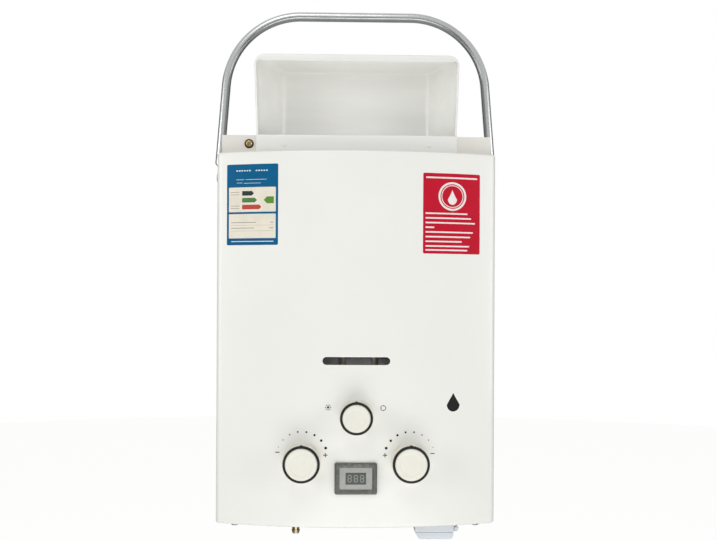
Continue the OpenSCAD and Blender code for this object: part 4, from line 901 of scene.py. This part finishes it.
class HEATER_OT_knobs(bpy.types.Operator):
    """Turns the knob grips, their dark rings with a pointer, and the pale seats"""

    bl_idname = "heater.knobs"
    bl_label = "Knobs"

    def execute(self, context):
        seats = []
        wide = context.scene.heater_sizes.knob_ring / MM
        for name in ("gas_knob", "water_knob", "season_knob"):
            lo, hi = corners(name + "_cap")
            ring_lo, ring_hi = corners(name + "_skirt")
            centre = (lo + hi) / 2
            body, outer = (hi[0] - lo[0]) / 2, (ring_hi[0] - ring_lo[0]) / 2
            step, depth, face = hi[1] - ring_hi[1], hi[1] - lo[1], outer - wide
            grip = turned(grip_profile(body, face, step, depth), (centre[0], hi[1], centre[2]), "y", 128)
            piece(name + "_grip", [grip], name, "cream_plastic", FINISH["knob"], replaces=(name + "_cap",))

            def pointer(radius, t, h, outer=outer):
                bump = 0.7 * np.exp(-(((t - pi / 2) / radians(4)) ** 4))
                return radius + bump * (radius > outer - 0.9)

            profile = ring_profile(face + 0.1, outer, ring_hi[1] - ring_lo[1])
            ring = turned(profile, (centre[0], ring_hi[1], centre[2]), "y", 180, pointer)
            piece(name + "_ring", [ring], name, "black_plastic", FINISH["ring"], replaces=(name + "_skirt",))
            seat_r = outer + 1.2
            front = hi[1] + 0.3
            t = full_turn(120)
            rows = []
            for radius, y in ((seat_r - 6, front), (seat_r - 0.5, front), (seat_r - 0.15, front + 0.15),
                              (seat_r, front + 0.5), (seat_r, None), (seat_r - 6, None)):
                x, z = centre[0] + radius * np.cos(t), centre[2] + radius * np.sin(t)
                deep = bow(x) + 0.4 if y is None else np.minimum(y + 0 * x, bow(x) + 0.4)
                rows.append(np.stack([x, deep, z], -1))
            seats.append(grid(np.stack(rows), wrap_u=True, wrap_v=True))
        piece("knob_seat_rings", seats, "case", "cream_plastic", FINISH["knob"], replaces=("knob_seats",))
        return {"FINISHED"}


# ---------- display ----------

# Each bar of a digit: place in shares of its side, and angle in degrees
SEGMENTS = ((0, 1, 0), (1, 0.5, 90), (1, -0.5, 90), (0, -1, 0), (-1, -0.5, 90), (-1, 0.5, 90), (0, 0, 0))
DIGIT_SIDE = 3.3
DIGIT_PITCH = 6.3
FRAME_RIM = 3.8


def segment(long, wide):
    """Outline of one bar of a digit: a bar with pointed ends."""
    a, b = long / 2, wide / 2
    return np.array([[a, 0], [a - b, b], [-a + b, b], [-a, 0], [-a + b, -b], [a - b, -b]])


class HEATER_OT_display(bpy.types.Operator):
    """Moulds the display frame and lays the unlit digits in its window"""

    bl_idname = "heater.display"
    bl_label = "Display"

    def execute(self, context):
        lo, hi = corners("display_bezel")
        x, _, z = (lo + hi) / 2
        hx, hz, front = (hi[0] - lo[0]) / 2, (hi[2] - lo[2]) / 2, lo[1]
        steps = [(0, 1.6, None), (0, 1.6, 0.7), (0.2, 1.5, 0.2), (0.7, 1.2, 0), (FRAME_RIM - 0.9, 0.9, 0),
                 (FRAME_RIM - 0.2, 0.6, 0.35), (FRAME_RIM, 0.5, 0.9), (FRAME_RIM, 0.5, 8)]
        rows = [(rounded(hx - inset, hz - inset, r, 5) + (x, z), None if deep is None else front + deep)
                for inset, r, deep in steps]
        piece("display_frame", [loft(rows, lambda v: bow(v) + 0.3)], "case", "bezel_plastic", FINISH["bezel"],
              inside=(x, front + 6, z), replaces=("display_bezel",), modifiers=[thick(0.6)])
        plane = corners("display_window")[0][1]
        bar_shape = segment(DIGIT_SIDE - 0.25, 0.85)
        digits = []
        for k in (-1, 0, 1):
            for dx, dz, angle in SEGMENTS:
                place = (k * DIGIT_PITCH + dx * DIGIT_SIDE / 2, DISPLAY[2] + dz * DIGIT_SIDE)
                digits.append(printed(turn2(bar_shape, angle), place, 0.06, lambda v: plane + 0 * v, step=9))
        piece("display_digits", digits, "case", "window_plastic", FINISH["digit"], modifiers=[thick(0.05)])
        softened("display_panel", "case", "panel_plastic", FINISH["panel"], 0.2)
        return {"FINISHED"}


# ---------- prints and stickers ----------

# Middles of the signs by the knobs, the two pictograms and the drop, in x and z
MINUS = ((-80, -278), (78.5, -279))
PLUS = ((-31, -280), (29.5, -280))
SUN, RING, RAY_R = (-28.5, -231.5), (27.5, -232), 2.5
DROP, DROP_SIZE = (100, -227), (13.5, 19)
# Left, right, lower and upper edge of each sticker
LABEL_LEFT = (-134.0, -80.5, -66.5, 16.5)
LABEL_RIGHT = (67.5, 127.5, -74.5, 8.0)


def leaf(width, height, tip=1.0):
    """Outline of a drop: a circle whose upper half is drawn to a point."""
    t = full_turn(48)
    x = np.cos(t) * (1 - 0.85 * np.clip(np.sin(t), 0, 1) ** tip)
    z = np.where(np.sin(t) > 0, np.sin(t) * 1.7, np.sin(t))
    return np.column_stack([x * width / 2, (z - 0.35) * height / 2.7])


def dots(centre, arc, grow):
    """Eight dots on an arc above a knob, growing to one side."""
    angles = np.radians(np.linspace(158, 22, 8))
    radii = np.linspace(0.45, 1.45, 8)[::grow]
    return [(disc(r, 16), (centre[0] + arc * cos(a), centre[2] + 4 + arc * sin(a))) for a, r in zip(angles, radii)]


class HEATER_OT_prints(bpy.types.Operator):
    """Prints the dots and signs around the knobs and the drop on the cover"""

    bl_idname = "heater.prints"
    bl_label = "Prints"

    def execute(self, context):
        s = context.scene.heater_sizes
        marks = dots(GAS, s.dot_arc / MM, 1) + dots(WATER, s.dot_arc / MM, -1)
        for x, z in MINUS + PLUS:
            marks.append((bar(4.2, 0.9), (x, z)))
        for x, z in PLUS:
            marks += [(bar(1.65, 0.9, 90), (x, z + dz)) for dz in (1.28, -1.28)]
        marks += [(disc(1.2, 16), SUN)]
        for (x, z), long, angle in ((SUN, 1.2, 0), (RING, 1.6, 90)):
            marks += [(bar(long, 0.8, a + angle), (x + RAY_R * cos(radians(a)), z + RAY_R * sin(radians(a))))
                      for a in range(0, 360, 45)]
        marks += [(leaf(*DROP_SIZE), DROP)]
        parts = [printed(outline, place, s.print_lift / MM) for outline, place in marks]
        piece("cover_prints", parts, "case", "white_enamel", FINISH["ink"], modifiers=[thick(0.04)])
        return {"FINISHED"}


def sheet_label(name, box, finish_key, lift, r=1.4):
    """A rounded rectangle laid on the cover: box is x0, x1, z0, z1."""
    x0, x1, z0, z1 = box
    outline = rounded((x1 - x0) / 2, (z1 - z0) / 2, r, 4)
    part = printed(outline, ((x0 + x1) / 2, (z0 + z1) / 2), lift)
    piece(name, [part], "case", "white_enamel", FINISH[finish_key], modifiers=[thick(0.05)])


def marks_label(name, marks, finish_key, lift):
    """Marks laid on a sticker: each is (outline, place, inner share)."""
    parts = [printed(o, place, lift, inner=inner) for o, place, inner in marks]
    piece(name, parts, "case", "white_enamel", FINISH[finish_key], modifiers=[thick(0.03)])


def arrow(long, wide, tip):
    """Outline of a bar with one pointed end."""
    a, b = long / 2, wide / 2
    return np.array([[a, 0], [a - tip, b], [-a, b], [-a, -b], [a - tip, -b]])


class HEATER_OT_stickers(bpy.types.Operator):
    """Lays the two stickers on the cover, with plain generic marks"""

    bl_idname = "heater.stickers"
    bl_label = "Stickers"

    def execute(self, context):
        lift = context.scene.heater_sizes.sticker_lift / MM
        x0, x1, z0, z1 = LABEL_LEFT
        w, h = x1 - x0, z1 - z0

        def at(u, v):
            """Place on the left sticker: u across from its left, v down from its top, as shares."""
            return x0 + u * w, z1 - v * h

        sheet_label("label_blue_ground", LABEL_LEFT, "blue", lift)
        for k, (v0, v1) in enumerate(((0.285, 0.59), (0.615, 0.915))):
            panel = (x0 + 0.04 * w, x1 - 0.045 * w, z1 - v1 * h, z1 - v0 * h)
            sheet_label(f"label_cream_{k}", panel, "cream", lift + 0.04, 0.6)
        top = lift + 0.08
        for key, u0, u1, v in (("dark", 0.30, 0.53, 0.36), ("green", 0.30, 0.59, 0.445),
                               ("bar_red", 0.30, 0.675, 0.53)):
            marks_label("label_bar_" + key, [(arrow((u1 - u0) * w, 4.7, 2.2), at((u0 + u1) / 2, v), 0)], key, top)
        marks_label("label_arrow", [(turn2(arrow(10.4, 7.0, 3.2), 180), at(0.82, 0.445), 0)], "lime", top)
        # Bars on the cream panels and on the blue ground: length, width and place in shares
        grey = [(9.5, 0.45, 0.16, v) for v in (0.345, 0.375, 0.515, 0.545)]
        grey += [(26, 0.6, 0.33, 0.72), (24, 0.6, 0.31, 0.79), (3, 0.7, 0.88, 0.72), (4, 0.7, 0.87, 0.79)]
        grey += [(44, 0.18, 0.5, v) for v in (0.755, 0.825)]
        pale = [(8, 0.35, 0.26, 0.19), (22, 0.35, 0.57, 0.19), (6, 0.35, 0.25, 0.23), (18, 0.35, 0.5, 0.235)]
        pale += [(1.7, 1.2, u, 0.08) for u in (0.20, 0.25, 0.30, 0.35, 0.40, 0.45, 0.58, 0.63, 0.68, 0.73, 0.78)]
        pale += [(44, 0.7, 0.5, 0.955)]
        for name, bars, key, level in (("label_grey_lines", grey, "grey", top),
                                       ("label_pale_marks", pale, "pale", lift + 0.04)):
            marks_label(name, [(bar(long, wide), at(u, v), 0) for long, wide, u, v in bars], key, level)

        x0, x1, z0, z1 = LABEL_RIGHT
        w, h = x1 - x0, z1 - z0
        sheet_label("label_red_ground", LABEL_RIGHT, "red", lift)
        ring_x, ring_z = x0 + 0.51 * w, z1 - 0.285 * h
        white = [(disc(14.7, 60), (ring_x, ring_z), 0.86), (disc(11.6, 60), (ring_x, ring_z), 0.93)]
        white += [(leaf(9.5, 15, 0.8), (ring_x, ring_z - 1), 0)]
        # Bars under the drop, from the left: place down from the top as a share, and length
        lines = ((0.50, 44), (0.558, 48), (0.616, 52), (0.674, 9), (0.732, 50), (0.79, 47), (0.848, 38), (0.906, 46),
                 (0.955, 44))
        white += [(bar(long, 1.5), (x0 + 2.6 + long / 2, z1 - v * h), 0) for v, long in lines]
        white += [(bar(w * 0.9, 1.6), (x0 + 0.5 * w, z1 - 0.055 * h), 0)]
        marks_label("label_red_marks", white, "white_ink", lift + 0.04)
        return {"FINISHED"}


# ---------- connections and battery box ----------

THREAD_R, THREAD_BORE, THREAD_LEN = 10.48, 6.98, 14.0
HEX_R, HEX_H = THREAD_R + 2.5, 10.0
HOSE_BORE, HOSE_R, BARB_R, BARB_PITCH = 2.8, 3.75, 4.6, 4.4


class HEATER_OT_connections(bpy.types.Operator):
    """Cuts the threads of the water connectors and the barbs of the gas nipple"""

    bl_idname = "heater.connections"
    bl_label = "Connections"

    def execute(self, context):
        s = context.scene.heater_sizes
        pitch, depth = s.thread_pitch / MM, s.thread_depth / MM
        r, bore = THREAD_R, THREAD_BORE
        low, shoulder, hexa = Z_BOT - THREAD_LEN, Z_BOT, Z_BOT + 2
        for name in ("water_inlet", "water_outlet"):
            top = corners(name)[1][2]
            x, y, _ = middle(name)
            z = np.arange(low + 1, shoulder - 0.6, pitch / 8)
            thread = np.column_stack([np.full(len(z), r), z])
            profile = np.vstack([
                [(bore, low + 0.6), (bore + 0.4, low), (r - depth - 0.2, low), (r - depth, low + 0.5)],
                thread,
                [(r - depth, shoulder - 0.4), (r - depth, shoulder), (r + 1, shoulder), (r + 1, hexa)],
                [(HEX_R - 0.5, hexa), (HEX_R, hexa + 0.5), (HEX_R, hexa + HEX_H - 0.5), (HEX_R - 0.5, hexa + HEX_H)],
                [(r - 2, hexa + HEX_H), (r - 2, top), (bore, top)],
            ])

            def shape(radius, t, h):
                wave = np.abs(((h - t / (2 * pi) * pitch) / pitch) % 1 * 2 - 1)
                lead = np.clip((h - low - 1) / pitch, 0, 1) * np.clip((shoulder - 0.6 - h) / pitch, 0, 1)
                cut = (radius == r) * depth * (1 - np.clip(wave * 1.25, 0, 1) * lead)
                six = (h > hexa - 0.01) & (h < hexa + HEX_H + 0.01) & (radius > r + 1.5)
                flat = cos(pi / 6) / np.cos((t + pi / 6) % (pi / 3) - pi / 6)
                return np.where(six, np.minimum(radius, HEX_R * flat), radius - cut)

            piece(name + "_body", [turned(profile, (x, y, 0), "z", 96, shape)], "case", "brass",
                  FINISH["brass"], replaces=(name,), merge=0.001)
        lo, hi = corners("gas_inlet")
        x, y, _ = middle("gas_inlet")
        rows = [(HOSE_BORE, lo[2] + 0.3), (3.1, lo[2]), (3.6, lo[2] + 0.2)]
        for k in range(3):
            z = lo[2] + 0.6 + BARB_PITCH * k
            rows += [(3.7, z), (BARB_R, z + 3.2), (BARB_R, z + 3.7), (HOSE_R, z + 3.9)]
        rows += [(HOSE_R, Z_BOT - 8.6), (4.2, Z_BOT - 8.0), (BARB_R, Z_BOT - 7.6), (BARB_R, Z_BOT), (7.2, Z_BOT),
                 (7.6, Z_BOT + 0.4), (7.6, Z_BOT + 8), (4.0, Z_BOT + 8), (4.0, hi[2]), (HOSE_BORE, hi[2]),
                 (HOSE_BORE, lo[2] + 0.3)]
        piece("gas_inlet_barbs", [turned(rows, (x, y, 0), "z", 64)], "case", "brass", FINISH["brass"],
              replaces=("gas_inlet",), merge=0.001)
        softened("battery_box", "case", "clear_grey_plastic", FINISH["box"], 0.8, 3)
        softened("battery_lid", "lid", "clear_grey_plastic", FINISH["box"], 0.6, 3)
        return {"FINISHED"}


# ---------- stage ----------

FLOOR_Z, FLOOR_R, CARD_R = -1.7, 12.0, 2.5
# Dark cards that only the reflections show, to draw the edges of the polished tube: angles off the front and top
CARDS = (("front", -98, 98, -0.1), ("right", 98, 146, 1.2), ("left", -146, -98, 1.2))
# Soft lamps: place, target, width, height and power
LAMPS = (
    ("left", (-1.7, -1.1, 0.1), (0, -0.08, -0.1), 1.0, 1.0, 11.0),
    ("right", (1.7, -1.1, 0.1), (0, -0.08, -0.1), 1.0, 1.0, 9.0),
    ("bounce", (0.1, -1.2, -1.0), (0, -0.08, -0.1), 1.2, 1.2, 9.0),
    ("top", (-0.3, -1.2, 1.3), (0, -0.08, -0.1), 0.8, 0.8, 6.0),
    ("hood", (0.0, -0.080, 0.052), (0, -0.062, 0.13), 0.12, 0.012, 0.027),
)
CAMERA_YAW, CAMERA_ROLL, CAMERA_AWAY = radians(1.2), radians(0.28), 0.9
CAMERA_EYE = Vector((0, -0.1, -0.1336))
PHOTO_W = 716


def card(start, end, low, high):
    """A curved card in metres: part of an upright cylinder about the heater, between two angles off the front."""
    a = np.radians(np.linspace(start, end, 25))[:, None]
    z = np.array([[low, high]])
    return grid(np.stack(np.broadcast_arrays(CARD_R * np.sin(a), -CARD_R * np.cos(a), z), -1))


def bare_material(name):
    """A material with an empty node tree."""
    material = bpy.data.materials.new(name)
    material.use_nodes = True
    material.node_tree.nodes.clear()
    return material


def stage_piece(name, points, faces, material):
    """A piece of the stage, given in metres."""
    mesh = bpy.data.meshes.new(name)
    mesh.from_pydata(points.tolist(), [], np.asarray(faces).tolist())
    mesh.materials.append(material)
    obj = bpy.data.objects.new(name, mesh)
    bpy.context.scene.collection.objects.link(obj)
    return obj


class HEATER_OT_stage(bpy.types.Operator):
    """Lays the floor, sets up the lamps and the cards, and puts up the camera"""

    bl_idname = "heater.stage"
    bl_label = "Stage"

    def execute(self, context):
        scene = context.scene
        scene.view_settings.view_transform = "Standard"
        white = {"Color": (1, 1, 1, 1)}
        world = bpy.data.worlds.new("studio")
        scene.world = world
        world.use_nodes = True
        tree = world.node_tree
        tree.nodes.clear()
        path = add(tree, "ShaderNodeLightPath")
        seen = add(tree, "ShaderNodeMath", {0: (path, "Is Camera Ray"), 1: (path, "Is Transmission Ray")},
                   operation="MAXIMUM")
        shown = add(tree, "ShaderNodeMath", {0: (seen, 0), 1: (path, "Is Glossy Ray")}, operation="MAXIMUM")
        light = add(tree, "ShaderNodeBackground", values={**white, "Strength": 0.36})
        backdrop = add(tree, "ShaderNodeBackground", values={**white, "Strength": 1.0})
        mix = add(tree, "ShaderNodeMixShader", {0: (shown, 0), 1: (light, 0), 2: (backdrop, 0)})
        add(tree, "ShaderNodeOutputWorld", {"Surface": (mix, 0)})

        # Pale floor: it takes the shadow, looks white to the camera, and is clear from below
        material = bare_material("pale_floor")
        tree = material.node_tree
        path = add(tree, "ShaderNodeLightPath")
        face = add(tree, "ShaderNodeNewGeometry")
        diffuse = add(tree, "ShaderNodeBsdfDiffuse", values={"Color": linear("F4F4F2")})
        glow = add(tree, "ShaderNodeEmission", values={**white, "Strength": 0.65})
        lit = add(tree, "ShaderNodeAddShader", {0: (diffuse, 0), 1: (glow, 0)})
        seen = add(tree, "ShaderNodeMixShader", {0: (path, "Is Camera Ray"), 1: (diffuse, 0), 2: (lit, 0)})
        clear = add(tree, "ShaderNodeBsdfTransparent")
        both = add(tree, "ShaderNodeMixShader", {0: (face, "Backfacing"), 1: (seen, 0), 2: (clear, 0)})
        add(tree, "ShaderNodeOutputMaterial", {"Surface": (both, 0)})
        t = full_turn(64)
        rim = np.column_stack([FLOOR_R * np.cos(t), FLOOR_R * np.sin(t), np.full(64, FLOOR_Z)])
        stage_piece("floor", rim, [list(range(64))], material)

        dark = bare_material("dark_card")
        glow = add(dark.node_tree, "ShaderNodeEmission", values={**white, "Strength": 0.12})
        add(dark.node_tree, "ShaderNodeOutputMaterial", {"Surface": (glow, 0)})
        for name, start, end, top in CARDS:
            flag = stage_piece("card_" + name, *card(start, end, FLOOR_Z + 0.01, top), dark)
            flag.visible_camera = flag.visible_diffuse = flag.visible_transmission = flag.visible_shadow = False

        for name, place, target, wide, high, power in LAMPS:
            light = bpy.data.lights.new(name, "AREA")
            light.shape = "RECTANGLE"
            light.size = wide
            light.size_y = high
            light.energy = power
            lamp = bpy.data.objects.new(name, light)
            aim = Vector(target) - Vector(place)
            lamp.matrix_world = Matrix.Translation(place) @ aim.to_track_quat("-Z", "Y").to_matrix().to_4x4()
            lamp.visible_camera = False
            lamp.visible_glossy = wide > 0.5
            scene.collection.objects.link(lamp)

        camera = bpy.data.cameras.new("camera")
        camera.lens = 43.54
        camera.sensor_width = 36.0
        camera.shift_x = 1.8 / PHOTO_W
        camera.shift_y = 41 / PHOTO_W
        camera.dof.use_dof = False
        holder = bpy.data.objects.new("camera", camera)
        turn = (Matrix.Rotation(-CAMERA_YAW, 4, "Z") @ Matrix.Rotation(pi / 2, 4, "X")
                @ Matrix.Rotation(CAMERA_ROLL, 4, "Z"))
        spot = CAMERA_EYE + Vector((-sin(CAMERA_YAW), -cos(CAMERA_YAW), 0)) * CAMERA_AWAY
        holder.matrix_world = Matrix.Translation(spot) @ turn
        scene.collection.objects.link(holder)
        scene.camera = holder
        return {"FINISHED"}


STEPS = (
    HEATER_OT_stage,
    HEATER_OT_finishes,
    HEATER_OT_cover,
    HEATER_OT_plates,
    HEATER_OT_hood,
    HEATER_OT_handle,
    HEATER_OT_fasteners,
    HEATER_OT_knobs,
    HEATER_OT_display,
    HEATER_OT_prints,
    HEATER_OT_stickers,
    HEATER_OT_connections,
)


class HEATER_PT_panel(bpy.types.Panel):
    """Lists the steps that build the heater, with its sizes and colours"""

    bl_idname = "HEATER_PT_panel"
    bl_label = "Gas water heater"
    bl_space_type = "VIEW_3D"
    bl_region_type = "UI"
    bl_category = "Heater"

    def draw(self, context):
        for step in STEPS:
            self.layout.operator(step.bl_idname)
        for group in (context.scene.heater_sizes, context.scene.heater_colours):
            for name in group.__annotations__:
                self.layout.prop(group, name)


CLASSES = (HeaterSizes, HeaterColours, *STEPS, HEATER_PT_panel)


def register():
    """Registers the classes and puts the settings on the scene."""
    for cls in CLASSES:
        bpy.utils.register_class(cls)
    bpy.types.Scene.heater_sizes = PointerProperty(type=HeaterSizes)
    bpy.types.Scene.heater_colours = PointerProperty(type=HeaterColours)


def unregister():
    """Takes the settings and classes away again."""
    del bpy.types.Scene.heater_colours
    del bpy.types.Scene.heater_sizes
    for cls in reversed(CLASSES):
        bpy.utils.unregister_class(cls)


def main():
    """Builds the heater step by step."""
    register()
    for step in STEPS:
        area, name = step.bl_idname.split(".")
        getattr(getattr(bpy.ops, area), name)()


if __name__ == "__main__":
    main()
